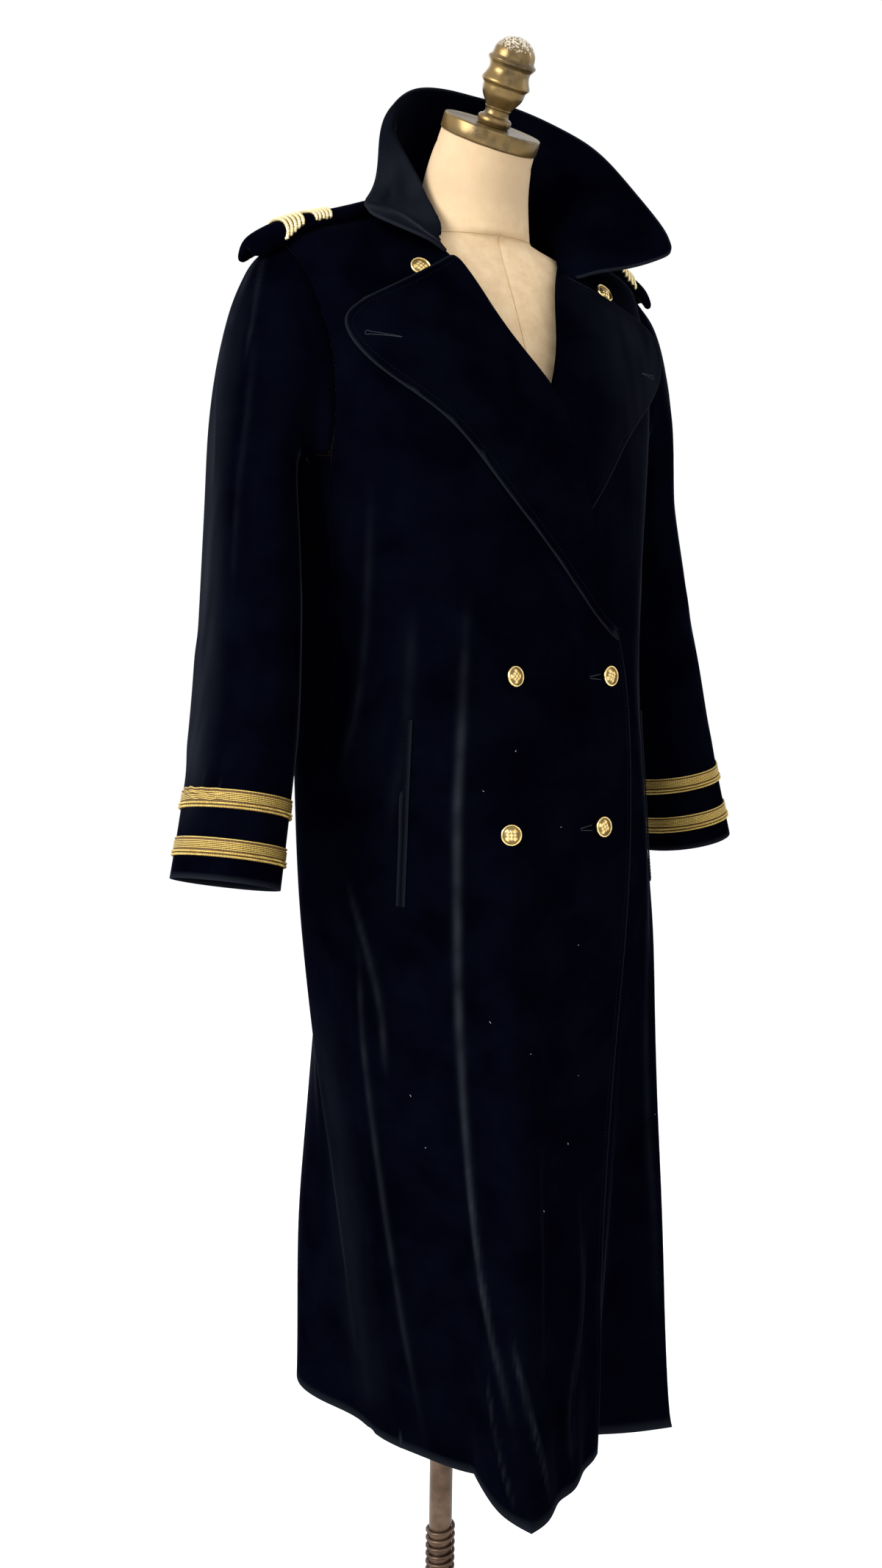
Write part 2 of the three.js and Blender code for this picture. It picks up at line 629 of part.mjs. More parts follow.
for (const [side, name] of [[-1, "right"], [1, "left"]]) {
  const grid = sleeveFor(side, sleeveGrid);
  add(`sleeve_${name}`, closedWall(grid, movedOut(grid, -WALL, true), true), VELVET);
  CUFF_BRAIDS.forEach((above, order) => {
    add(`cuff_braid_${name}_${order + 1}`, cuffBraid(side, above), GOLD_BRAID);
  });
}

// ---- epaulettes -----------------------------------------------------------------
// The height of the coat over a place on the shoulder, found by halving.
function shoulderOver(x, y) {
  let low = 1600;
  let high = BODY.at(-1).height;
  for (let step = 0; step < 30; step += 1) {
    const height = (low + high) / 2;
    const at = (column) => smooth(BODY, "height", height, column);
    const depth = y < 0 ? at("front") : at("back");
    const within = (Math.abs(x) / at("half")) ** at("square") + (Math.abs(y) / depth) ** at("square");
    if (within < 1) low = height;
    else high = height;
  }
  return low;
}

// Over the sleeve head the board runs on at the shoulder's slope and droops a little.
function boardUnder(x, y) {
  const past = Math.max(0, x - EPAULETTE.tip);
  const slope = 0.4;
  const droop = 0.005;
  return shoulderOver(Math.min(x, EPAULETTE.tip), y) + 3.2 - slope * past - droop * past * past;
}

function boardOver(x, across) {
  const rounded = Math.sqrt(1 - (0.92 * across) ** 2);
  return boardUnder(x, (across * EPAULETTE.wide) / 2) + EPAULETTE.deep * (0.35 + 0.65 * rounded);
}

const braidEdges = EPAULETTE_BRAIDS.flatMap((middle) => [middle - BRAID.wide / 2, middle + BRAID.wide / 2]);
const BOARD_PLACES = [EPAULETTE.from, 148, 164, ...braidEdges, 250, EPAULETTE.to];
const BOARD_LINES = 7;

function board(places, over, under) {
  const narrowing = (x) => (x === EPAULETTE.from ? 0.55 : x === EPAULETTE.to ? 0.62 : 1);
  const outer = [];
  const inner = [];
  for (let j = 0; j < BOARD_LINES; j += 1) {
    const across = -1 + (2 * j) / (BOARD_LINES - 1);
    const half = EPAULETTE.wide / 2;
    outer.push(places.map((x) => point(x, across * narrowing(x) * half, over(x, across))));
    inner.push(places.map((x) => point(x, across * narrowing(x) * half, under(x, across))));
  }
  return [outer, inner];
}

function epauletteGrids() {
  const under = (x, across) => boardUnder(x, (across * EPAULETTE.wide) / 2);
  return board(BOARD_PLACES, boardOver, under);
}

function epauletteBraidGrids(order) {
  const over = (x, across) => boardOver(x, across) + GAP + BRAID.deep;
  const under = (x, across) => boardOver(x, across) + GAP;
  return board(braidEdges.slice(2 * order, 2 * order + 2), over, under);
}

function onShoulder(side, [outer, inner]) {
  return side < 0 ? closedWall(mirrored(outer), mirrored(inner)) : closedWall(outer, inner);
}

for (const [side, name] of [[-1, "right"], [1, "left"]]) {
  add(`epaulette_${name}`, onShoulder(side, epauletteGrids()), VELVET);
  EPAULETTE_BRAIDS.forEach((_, order) => {
    add(`epaulette_braid_${name}_${order + 1}`, onShoulder(side, epauletteBraidGrids(order)), GOLD_BRAID);
  });
}

// ---- pockets -----------------------------------------------------------------
function pocketWelt(side) {
  const rows = 6;
  const outer = [];
  const inner = [];
  for (let j = 0; j <= rows; j += 1) {
    const height = lerp(WELT.bottom, WELT.top, j / rows);
    const middle = side * (WELT.turn + WELT.lean * (1 - j / rows));
    const turns = [-0.5, 0, 0.5].map((t) => middle + t * WELT.wide);
    const lift = (turn) => (side < 0 ? rightLift({ turn }) : 0) + WELT.clear;
    outer.push(turns.map((turn) => coat(turn, height, lift(turn) + WELT.deep)));
    inner.push(turns.map((turn) => coat(turn, height, lift(turn))));
  }
  return closedWall(outer, inner);
}

add("pocket_welt_right", pocketWelt(-1), VELVET);
add("pocket_welt_left", pocketWelt(1), VELVET);

// ---- buttons -----------------------------------------------------------------
const BUTTONS = [
  { name: "button_1", turn: -19.2, height: 1241, layer: LAP },
  { name: "button_2", turn: 16.6, height: 1240, layer: LAP },
  { name: "button_3", turn: -21.8, height: 1080, layer: LAP },
  { name: "button_4", turn: 9.3, height: 1080, layer: LAP },
  { name: "lapel_button_right", turn: -48, height: 1654, layer: 1.5 },
  { name: "lapel_button_left", turn: 48, height: 1654, layer: 0 },
];

function buttonGeometry() {
  const { radius, rim, depth, stem } = BUTTON;
  const shank = 2.5;
  const profile = [
    [0, 0],
    [shank, 0],
    [shank, stem],
    [radius - 0.6, stem],
    [radius, stem + 1],
    [radius, stem + 2.4],
    [radius - rim / 2, stem + 3],
    [radius - rim, stem + 2.4],
    [radius * 0.45, stem + depth - 1.2],
    [0, stem + depth - 0.8],
  ];
  return new THREE.LatheGeometry(profile.map(([x, y]) => new THREE.Vector2(x, y)), 16);
}

for (const button of BUTTONS) {
  const mesh = add(button.name, buttonGeometry(), GILT);
  const foot = coat(button.turn, button.height, button.layer + BUTTON.seat);
  const out = coat(button.turn, button.height, button.layer + BUTTON.seat + 1).sub(foot);
  mesh.position.copy(foot);
  mesh.quaternion.setFromUnitVectors(point(0, 1, 0), out.normalize());
}

// ---- dress form and stand -----------------------------------------------------------------
// A closed solid from rings of points, each anticlockwise seen from the last ring's end.
function closedStack(rings) {
  const sides = rings[0].length;
  const positions = [];
  for (const ring of rings) for (const p of ring) positions.push(p.x, p.y, p.z);
  const middles = [rings[0], rings.at(-1)].map((ring) =>
    ring.reduce((sum, p) => sum.add(p), point(0, 0, 0)).divideScalar(sides),
  );
  for (const p of middles) positions.push(p.x, p.y, p.z);
  const foot = rings.length * sides;
  const indices = [];
  for (let i = 0; i < sides; i += 1) {
    const next = (i + 1) % sides;
    for (let j = 0; j < rings.length - 1; j += 1) {
      const low = j * sides;
      const high = low + sides;
      indices.push(low + i, low + next, high + next, low + i, high + next, high + i);
    }
    const top = (rings.length - 1) * sides;
    indices.push(foot, next, i, foot + 1, top + i, top + next);
  }
  const geometry = new THREE.BufferGeometry();
  geometry.setAttribute("position", new THREE.Float32BufferAttribute(positions, 3));
  geometry.setIndex(indices);
  geometry.computeVertexNormals();
  return geometry;
}

const FORM_SIDES = 24;

function formBody() {
  const turns = Array.from({ length: FORM_SIDES }, (_, k) => (k / FORM_SIDES) * 360);
  const rings = FORM.map((row) =>
    turns.map((turn) => {
      const depth = Math.cos(toRad(turn)) > 0 ? row.front : row.back;
      const [x, y] = sectionPoint(row.half, depth, row.square, turn);
      return point(x, y, row.height);
    }),
  );
  for (const row of NECK) {
    const tilt = toRad(row.tilt);
    rings.push(
      turns.map((turn) => {
        const x = row.radius * Math.sin(toRad(turn));
        const forward = row.radius * Math.cos(toRad(turn));
        return point(x, row.y - forward * Math.cos(tilt), row.z - forward * Math.sin(tilt));
      }),
    );
  }
  return closedStack(rings);
}

function turned(profile, segments) {
  const geometry = new THREE.LatheGeometry(profile.map(([x, y]) => new THREE.Vector2(x, y)), segments);
  return geometry.rotateX(Math.PI / 2);
}

add("form_body", formBody(), LINEN);

const neckTop = new THREE.Group();
neckTop.position.set(0, CAP.y, CAP.z);
neckTop.rotation.x = toRad(CAP.tilt);
garment.add(neckTop);
const capProfile = [
  [0, 0],
  [CAP.radius, 0],
  [CAP.radius, CAP.deep - 2],
  [CAP.radius - 2, CAP.deep],
  [0, CAP.deep],
];
neckTop.add(add("neck_cap", turned(capProfile, 28), BRONZE));
const finialProfile = [[0, 0], ...FINIAL.map((row) => [row.radius, row.along]), [0, 91]];
const finial = add("finial", turned(finialProfile, 18), BRONZE);
finial.position.z = CAP.deep + GAP;
neckTop.add(finial);

const poleFoot = BASE.crown + GAP;
const poleTop = FORM[0].height - GAP;
const poleProfile = [[0, poleFoot], [POLE_RADIUS, poleFoot], [POLE_RADIUS, poleTop], [0, poleTop]];
add("pole", turned(poleProfile, 24), BRONZE);

function springRings() {
  const { outer, wire, top, turns, sides, steps } = SPRING;
  const radius = outer - wire / 2;
  const low = HUB.top + GAP + wire;
  const rise = top - wire - low;
  return Array.from({ length: turns * steps + 1 }, (_, k) => {
    const angle = (k / steps) * 2 * Math.PI;
    const out = point(Math.cos(angle), Math.sin(angle), 0);
    const middle = out.clone().multiplyScalar(radius);
    middle.z = low + (rise * k) / (turns * steps);
    return Array.from({ length: sides }, (_, i) => {
      const around = (i / sides) * 2 * Math.PI;
      const p = middle.clone().addScaledVector(out, (wire / 2) * Math.cos(around));
      p.z += (wire / 2) * Math.sin(around);
      return p;
    });
  });
}

add("pole_spring", closedStack(springRings().map((ring) => ring.reverse())), BRONZE);

const bore = POLE_RADIUS + GAP;
const hubProfile = [
  [bore, BASE.crown + GAP],
  [HUB.radius, BASE.crown + GAP],
  [HUB.radius, HUB.top - 3],
  [HUB.radius - 3, HUB.top],
  [bore, HUB.top],
  [bore, BASE.crown + GAP],
];
add("base_hub", turned(hubProfile, 24), BRONZE);

const baseProfile = [
  [0, 0],
  [BASE.radius, 0],
  [BASE.radius, BASE.edge - 3],
  [BASE.radius - 4, BASE.edge],
  [60, 24],
  [34, BASE.crown],
  [0, BASE.crown],
];
add("stand_base", turned(baseProfile, 32), BRONZE);

export default garment;
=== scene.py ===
# %% [markdown]
# # A velvet officer's coat on a dress form
#
# This notebook dresses a long double-breasted velvet coat that stands on a limbless dress form.
# The solids of every piece are already made, at their real size. Here each piece of cloth gets
# its folds and its nap, and each piece of metal its wear. Lengths are in millimetres in the
# tables and in metres in Blender, so `MM` turns one into the other.

import math

import bpy
import numpy as np
from mathutils import Matrix, Vector, noise
from mathutils.bvhtree import BVHTree
from mathutils.kdtree import KDTree


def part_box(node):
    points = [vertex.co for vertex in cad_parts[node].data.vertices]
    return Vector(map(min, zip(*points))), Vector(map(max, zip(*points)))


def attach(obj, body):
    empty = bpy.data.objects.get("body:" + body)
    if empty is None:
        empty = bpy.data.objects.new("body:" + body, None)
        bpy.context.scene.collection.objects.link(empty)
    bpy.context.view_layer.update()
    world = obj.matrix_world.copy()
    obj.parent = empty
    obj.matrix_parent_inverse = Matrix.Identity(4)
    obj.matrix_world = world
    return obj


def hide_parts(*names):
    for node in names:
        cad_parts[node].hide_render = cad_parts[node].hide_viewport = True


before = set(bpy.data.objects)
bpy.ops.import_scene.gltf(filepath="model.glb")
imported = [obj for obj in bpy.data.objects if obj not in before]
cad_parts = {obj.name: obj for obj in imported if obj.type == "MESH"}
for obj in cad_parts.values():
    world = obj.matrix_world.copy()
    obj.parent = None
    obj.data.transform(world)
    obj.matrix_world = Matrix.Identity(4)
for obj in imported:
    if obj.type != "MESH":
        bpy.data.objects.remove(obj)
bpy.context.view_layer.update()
MM = 0.001

# %% [markdown]
# ## The camera, the light and the floor
#
# The coat is seen a little from the side and from about chest height, so that the collar stands
# up against the background. Velvet is nearly black from the front and lights up where it turns
# away, so large soft lamps stand to both sides and the front is filled weakly. The lamps are
# areas, because a point lamp would give the pile hard spots.

# %% Camera
CAMERA_TURN = -32.5          # degrees round the coat, from straight in front
CAMERA_AWAY = 1860 * MM
CAMERA_SIDE = -12 * MM
CAMERA_HIGH = 1330 * MM
CAMERA_DOWN = 6.9            # degrees that it looks down
CAMERA_ROLL = 0.8            # degrees
SENSOR = 36                  # mm
LENS = 36.79325              # mm


def turned(axis, degrees):
    return Matrix.Rotation(math.radians(degrees), 4, axis)


def new_piece(name, data):
    """Puts a mesh, a curve, a lamp or a camera into the scene."""
    piece = bpy.data.objects.new(name, data)
    bpy.context.scene.collection.objects.link(piece)
    return piece


around = turned("Z", CAMERA_TURN)
camera_data = bpy.data.cameras.new("camera")
camera_data.sensor_width = SENSOR
camera_data.lens = LENS
camera = new_piece("camera", camera_data)
place = around @ Vector((CAMERA_SIDE, -CAMERA_AWAY, CAMERA_HIGH))
camera.matrix_world = (
    Matrix.Translation(place) @ around @ turned("X", 90 - CAMERA_DOWN) @ turned("Z", CAMERA_ROLL)
)
bpy.context.scene.camera = camera
print("camera at", [round(c, 3) for c in camera.location])

# %% Lamps
AIM = Vector((0, 0, 1.15))   # every lamp points at the middle of the coat
LAMPS = [
    {"name": "key", "turn": -85, "away": 2.6, "high": 2.3, "size": 1.6, "watts": 110},
    {"name": "front", "turn": -14, "away": 3.2, "high": 2.2, "size": 2.4, "watts": 16},
    {"name": "right", "turn": 70, "away": 2.8, "high": 2.3, "size": 1.4, "watts": 8},
    {"name": "behind", "turn": 170, "away": 2.8, "high": 2.6, "size": 2.0, "watts": 16},
]

for lamp in LAMPS:
    data = bpy.data.lights.new(lamp["name"], "AREA")
    data.size = lamp["size"]
    data.energy = lamp["watts"]
    light = new_piece(lamp["name"], data)
    light.location = turned("Z", lamp["turn"]) @ Vector((0, -lamp["away"], lamp["high"]))
    light.rotation_euler = (light.location - AIM).to_track_quat("Z", "Y").to_euler()

world = bpy.data.worlds.new("studio")
world.use_nodes = True
world.node_tree.nodes["Background"].inputs["Color"].default_value = (1, 1, 1, 1)
world.node_tree.nodes["Background"].inputs["Strength"].default_value = 1.0
bpy.context.scene.world = world
bpy.context.scene.view_settings.view_transform = "Standard"
print(len(LAMPS), "lamps and a pale studio around them")

# %% [markdown]
# ## A few helpers
#
# A new mesh operator works on whatever is selected, so every step starts by selecting one
# piece alone. Positions are read into a table of numbers, moved all at once and written back,
# which is how hundreds of thousands of points of cloth can be pressed into folds quickly.

# %% Select, read and write points
def only(piece):
    if bpy.context.mode != "OBJECT":
        bpy.ops.object.mode_set(mode="OBJECT")
    bpy.ops.object.select_all(action="DESELECT")
    piece.select_set(True)
    bpy.context.view_layer.objects.active = piece
    return piece


def edit(piece, select="SELECT", by="VERT"):
    """Opens a piece in edit mode; with select=None what code has chosen stays chosen."""
    only(piece)
    bpy.context.tool_settings.mesh_select_mode = (by == "VERT", by == "EDGE", by == "FACE")
    bpy.ops.object.mode_set(mode="EDIT")
    if select:
        bpy.ops.mesh.select_all(action=select)


def done():
    bpy.ops.object.mode_set(mode="OBJECT")


def apply(piece, kind, **settings):
    only(piece)
    modifier = piece.modifiers.new(kind.lower(), kind)
    for setting, value in settings.items():
        setattr(modifier, setting, value)
    bpy.ops.object.modifier_apply(modifier=modifier.name)


def points(piece, what="co"):
    table = np.empty(len(piece.data.vertices) * 3, np.float32)
    piece.data.vertices.foreach_get(what, table)
    return table.reshape(-1, 3).astype(float)


def move_points(piece, table):
    piece.data.vertices.foreach_set("co", np.asarray(table, np.float32).ravel())
    piece.data.update()


def mark(piece, name, values):
    layer = piece.data.attributes.get(name) or piece.data.attributes.new(name, "FLOAT", "POINT")
    layer.data.foreach_set("value", np.asarray(values, np.float32))


def marked(piece, name):
    layer = piece.data.attributes.get(name)
    table = np.zeros(len(piece.data.vertices), np.float32)
    if layer:
        layer.data.foreach_get("value", table)
    return table.astype(float)


# %% Surfaces and distances
def surface(piece):
    mesh = piece.data
    return BVHTree.FromPolygons([v.co for v in mesh.vertices], [p.vertices for p in mesh.polygons])


def just_above(tree, p, lift):
    """The point of a surface nearest to p, moved out along its normal by lift metres."""
    spot, normal = tree.find_nearest(p)[:2]
    return spot + normal * lift


def nearby(table):
    """A tree that finds the nearest of a table of points."""
    tree = KDTree(len(table))
    for number, p in enumerate(table):
        tree.insert(p, number)
    tree.balance()
    return tree


def smoothly(low, high, at):
    """0 at low, 1 at high and an even S between them."""
    t = np.clip((np.asarray(at, float) - low) / (high - low), 0, 1)
    return t * t * (3 - 2 * t)


def bell(distance, wide):
    """1 at no distance, falling to about a third at a width; both in one unit."""
    return np.exp(-((distance / wide) ** 2))


WELD = 0.01 * MM             # points closer than this are one


def copy_of(node, name):
    """Copies a CAD solid. Its triangles are loose, so their corners are merged."""
    piece = new_piece(name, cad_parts[node].data.copy())
    piece.data.materials.clear()
    edit(piece)
    bpy.ops.mesh.remove_doubles(threshold=WELD)
    done()
    return piece


def to_quads(piece):
    """Joins triangles in pairs, because quads subdivide more evenly."""
    edit(piece)
    bpy.ops.mesh.tris_convert_to_quads(
        face_threshold=math.pi, shape_threshold=math.pi, topology_influence=1.5
    )
    done()


def mesh_of(name, corners, edges, faces):
    mesh = bpy.data.meshes.new(name)
    mesh.from_pydata(corners, edges, faces)
    return new_piece(name, mesh)


def shade(piece, crisp=None):
    """Shades a piece smooth; edges that turn by more than crisp degrees stay sharp."""
    only(piece)
    if crisp:
        bpy.ops.object.shade_smooth_by_angle(angle=math.radians(crisp))
    else:
        bpy.ops.object.shade_smooth()


def sew_on(piece, node=None):
    """The whole coat is one body, so every piece rides on root; node is the solid it replaces."""
    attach(piece, "root")
    if node:
        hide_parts(node)


# %% Nodes and colours
def rgb(hexed):
    """The linear colour of an sRGB hex value."""
    parts = [int(hexed[i:i + 2], 16) / 255 for i in (1, 3, 5)]
    return tuple(c / 12.92 if c <= 0.04045 else ((c + 0.055) / 1.055) ** 2.4 for c in parts) + (1,)


def new_material(name, **shader_settings):
    material = bpy.data.materials.new(name)
    material.use_nodes = True
    shader = material.node_tree.nodes["Principled BSDF"]
    for socket, value in shader_settings.items():
        shader.inputs[socket.replace("_", " ")].default_value = value
    return material


def add_node(material, kind, inputs=None, links=None, **settings):
    """Adds one node. inputs sets its sockets, links joins them to (node, output) pairs."""
    node = material.node_tree.nodes.new("ShaderNode" + kind)
    for setting, value in settings.items():
        setattr(node, setting, value)
    for socket, value in (inputs or {}).items():
        node.inputs[socket].default_value = value
    for socket, (source, output) in (links or {}).items():
        material.node_tree.links.new(source.outputs[output], node.inputs[socket])
    return node


def join(material, source, output, socket):
    shader = material.node_tree.nodes["Principled BSDF"]
    material.node_tree.links.new(source.outputs[output], shader.inputs[socket])


def ramp(material, source, output, stops):
    """A colour ramp from (place, hex) stops."""
    node = add_node(material, "ValToRGB", links={"Fac": (source, output)})
    while len(node.color_ramp.elements) < len(stops):
        node.color_ramp.elements.new(0.5)
    for element, (at, colour) in zip(node.color_ramp.elements, stops):
        element.position = at
        element.color = rgb(colour)
    return node


# %% Floor
floor_paint = new_material("matt studio floor", Base_Color=rgb("#ffffff"), Roughness=0.9)
bpy.ops.mesh.primitive_plane_add(size=30, location=(0, 0, -0.0005))
floor = bpy.context.active_object
floor.name = "floor"
floor.data.materials.append(floor_paint)

# %% [markdown]
# ## Velvet
#
# Silk velvet is a weave with a standing pile about 1.5 mm deep. Light that falls into the pile
# is lost, so it looks black from straight ahead, and it comes back from the sides of the fibres
# where the cloth turns away. The Principled shader's sheen layer does just that. The pile never
# lies quite evenly, so broad soft patches are a little lighter. Along edges, on the crests of
# folds and over a few broad regions a paler grey is painted in as sheen and highlight: the cloth
# carries a number of painted sheen for that.

# %% Velvet material
PATCH = 60                   # mm, size of the patches where the nap lies differently
PILE = 1.4                   # mm, grain of the pile, drawn coarser than the fibres so that it shows

velvet = new_material(
    "silk velvet, midnight navy",
    Roughness=1.0,
    Specular_IOR_Level=0.0,
    Sheen_Weight=0.08,
    Sheen_Roughness=0.17,
    Sheen_Tint=rgb("#b8bedc"),
)
where = add_node(velvet, "TexCoord")
nap = add_node(
    velvet,
    "TexNoise",
    {"Scale": 1000 / PATCH, "Detail": 3.0, "Distortion": 0.2},
    {"Vector": (where, "Object")},
)
nap_colour = ramp(velvet, nap, "Fac", [(0.3, "#010105"), (0.7, "#03040b")])
# The attribute read here mixes a pale grey into the base colour as painted sheen and highlight, on edges,
# crests of folds and broad regions.
painted_sheen = add_node(velvet, "Attribute", attribute_name="painted_sheen")
painted_sheen_mix = add_node(
    velvet,
    "MixRGB",
    {"Color2": rgb("#22252b")},
    {"Fac": (painted_sheen, "Fac"), "Color1": (nap_colour, "Color")},
)
join(velvet, painted_sheen_mix, "Color", "Base Color")
grain = add_node(
    velvet, "TexNoise", {"Scale": 1000 / PILE, "Detail": 2.0}, {"Vector": (where, "Object")}
)
pile_bump = add_node(
    velvet, "Bump", {"Strength": 0.35, "Distance": 0.4 * MM}, {"Height": (grain, "Fac")}
)
join(velvet, pile_bump, "Normal", "Normal")
print("velvet: patches of", PATCH, "mm, grain of", PILE, "mm")

# %% [markdown]
# ## How a panel of cloth is made
#
# A pattern cutter starts with a flat shape, and here the hung shape is already known: the
# solid of each panel has it. A copy of that wall loses its inner face and its narrow edges.
# What is left is one skin, and subdividing it makes it smooth. Folds are then pressed into it
# by moving points along their normals near a line drawn on the coat, and last a Solidify
# modifier gives the skin the thickness of velvet. Cloth simulation would also make folds, but
# not in the places where this coat has them.

# %% Skin of a wall
THICK = 2 * MM               # velvet with its backing
COAT_MIDDLE = Vector((0.01, -0.03, 1.1))
RIM = 1.3                    # a face with an edge shorter than this share of a wall is on its rim


def skin_of(node, name, inside=COAT_MIDDLE, levels=3, wall=THICK, corner_turn=52):
    """Copies a CAD wall, keeps the face that looks away from inside, and smooths it."""
    piece = copy_of(node, name)
    edit(piece, select="DESELECT")
    done()
    corner = [v.co for v in piece.data.vertices]
    for face in piece.data.polygons:
        face.select = any((corner[a] - corner[b]).length < RIM * wall for a, b in face.edge_keys)
    delete_chosen(piece)
    only(piece)
    bpy.ops.mesh.separate(type="LOOSE")
    skins = list(bpy.context.selected_objects)
    skins.sort(key=lambda skin: outward(skin, inside))
    for spare in skins[:-1]:
        bpy.data.objects.remove(spare)
    piece = skins[-1]
    piece.name = name
    to_quads(piece)
    keep_corners(piece, corner_turn)
    if levels:
        apply(piece, "SUBSURF", levels=levels, render_levels=levels)
    return piece


def open_edge(piece):
    """The points on the open edge of a skin, each with the two that follow and precede it."""
    uses = {}
    for face in piece.data.polygons:
        for key in face.edge_keys:
            uses[key] = uses.get(key, 0) + 1
    beside = {}
    for a, b in [key for key, count in uses.items() if count == 1]:
        beside.setdefault(a, []).append(b)
        beside.setdefault(b, []).append(a)
    return beside


def keep_corners(piece, turn):
    """Creases the corners of a skin, so that subdividing leaves them sharp."""
    table = points(piece)
    crease = np.zeros(len(table))
    for corner, (before, after) in ((v, pair[:2]) for v, pair in open_edge(piece).items()):
        one = Vector(table[corner] - table[before])
        two = Vector(table[after] - table[corner])
        crease[corner] = one.angle(two) > math.radians(turn)
    mark(piece, "crease_vert", crease)


def delete_chosen(piece):
    """Deletes the faces that code has chosen. In face mode their neighbours stay."""
    edit(piece, select=None, by="FACE")
    bpy.ops.mesh.delete(type="FACE")
    done()


def outward(piece, inside):
    return sum(f.area * f.normal.dot(f.center - inside) for f in piece.data.polygons)


def paint_sheen_in(piece, share):
    """Paints sheen into the pile's colour: where a point has some already, the stronger counts."""
    mark(piece, "painted_sheen", np.maximum(marked(piece, "painted_sheen"), share))


def cloth(piece, wall=THICK, soft_edge=0.6 * MM, worn=None):
    """Gives a skin its thickness, its edges a small round and, along the edges that worn picks out, a
    painted highlight.
    """
    if worn:
        # A paler colour is painted along the chosen edges as a highlight.
        at_edge = bell(from_edge(piece, edge_points(piece, worn)), 1.3 * MM)
        paint_sheen_in(piece, 0.5 * at_edge)
    apply(piece, "SOLIDIFY", thickness=wall, offset=-1, use_even_offset=False)
    sharp = math.radians(60)
    apply(piece, "BEVEL", width=soft_edge, segments=2, limit_method="ANGLE", angle_limit=sharp)
    piece.data.materials.append(velvet)
    shade(piece, crisp=50)
    return piece


# %% Lines on the coat and folds along them
def axis_at(height):
    """The middle of the coat at a height, in metres: it leans forward towards the hem."""
    fallen = min(max((1100 - height) / 750, 0), 1)
    return Vector((20 * fallen, -55 * fallen, height)) * MM


def on_cloth(tree, turn, height, middle=axis_at):
    """The point of the cloth seen from its middle at a turn (degrees) and height (mm)."""
    start = middle(height)
    away = Vector((math.sin(math.radians(turn)), -math.cos(math.radians(turn)), 0))
    hit = tree.ray_cast(start, away, 1)
    return hit[0] or start + away * 0.2


def curve_through(stops, steps=14, closed=False):
    """A smooth run through a few stops: Catmull-Rom, steps to a span."""
    stops = [np.array(s, float) for s in stops]
    if closed:
        ends = [stops[-1], *stops, stops[0], stops[1]]
    else:
        ends = [2 * stops[0] - stops[1], *stops, 2 * stops[-1] - stops[-2]]
    run = []
    for a, b, c, d in zip(ends, ends[1:], ends[2:], ends[3:]):
        for t in np.arange(steps) / steps:
            bend = (2 * a - 5 * b + 4 * c - d) * t ** 2 + (3 * b - a - 3 * c + d) * t ** 3
            run.append(0.5 * (2 * b + (c - a) * t + bend))
    return run if closed else run + [stops[-1]]


def near_line(table, line):
    """For each point: its distance to a line of points, and how far along that is, 0 to 1."""
    best = np.full(len(table), 1e9)
    along = np.zeros(len(table))
    spans = len(line) - 1
    for k in range(spans):
        a, b = line[k], line[k + 1]
        ab = b - a
        t = np.clip((table - a) @ ab / max(ab @ ab, 1e-12), 0, 1)
        away = np.linalg.norm(table - a - t[:, None] * ab, axis=1)
        closer = away < best
        best[closer] = away[closer]
        along[closer] = (k + t[closer]) / spans
    return best, along


def fold(piece, stops, wide, deep, fade=(0.25, 0.25), shine=0.2, middle=axis_at):
    """Raises (deep > 0) or sinks the cloth along a line of (turn, height) stops; sizes in mm."""
    tree = surface(piece)
    line = [np.array(on_cloth(tree, t, h, middle)) for t, h in curve_through(stops)]
    table = points(piece)
    distance, along = near_line(table, line)
    ends = smoothly(0, fade[0], along) * smoothly(0, fade[1], 1 - along)
    shape = bell(distance, wide * MM) * ends * (1 - marked(piece, "held"))
    table += points(piece, "normal") * (shape * deep * MM)[:, None]
    move_points(piece, table)
    # Along a raised crest a paler colour is painted in as a highlight, as much as shine says.
    if shine and deep > 0:
        crest = bell(distance, 0.3 * wide * MM) * ends * shine
        for number in np.flatnonzero(crest > 0.02):
            crest[number] *= 0.7 + 0.5 * noise.noise(Vector(table[number]) / (24 * MM))
        paint_sheen_in(piece, crest)


def paint_broad_sheen(piece, centre, reach, heights, share, middle=axis_at):
    """Paints a broad sheen: a paler colour over a region round a turn, between two heights."""
    table = points(piece)
    away = table - np.array([middle(p[2] / MM) for p in table])
    turn = np.degrees(np.arctan2(away[:, 0], -away[:, 1]))
    off_centre = np.abs((turn - centre + 180) % 360 - 180)
    high = table[:, 2] / MM
    there = share * smoothly(reach, 0, off_centre)
    there *= smoothly(heights[0], heights[0] + 120, high) * smoothly(heights[1], heights[1] - 90, high)
    for number in np.flatnonzero(there > 0.02):
        x, y, z = table[number]
        there[number] *= 0.75 + 0.4 * noise.noise(Vector((x, y, 0.2 * z)) / (16 * MM))
    paint_sheen_in(piece, there)


def ripple(piece, size, deep):
    """The slight unevenness of hung cloth: smooth noise of a size, both in mm."""
    table = points(piece)
    lift = [noise.noise(Vector((x, y, 0.45 * z)) / (size * MM)) for x, y, z in table]
    table += points(piece, "normal") * (np.array(lift) * deep * MM)[:, None]
    move_points(piece, table)


def edge_points(piece, keep=lambda x, y, z: True):
    """The points on the open edges of a skin that a test keeps."""
    table = points(piece)
    return np.array([table[v] for v in open_edge(piece) if keep(*(table[v] / MM))])


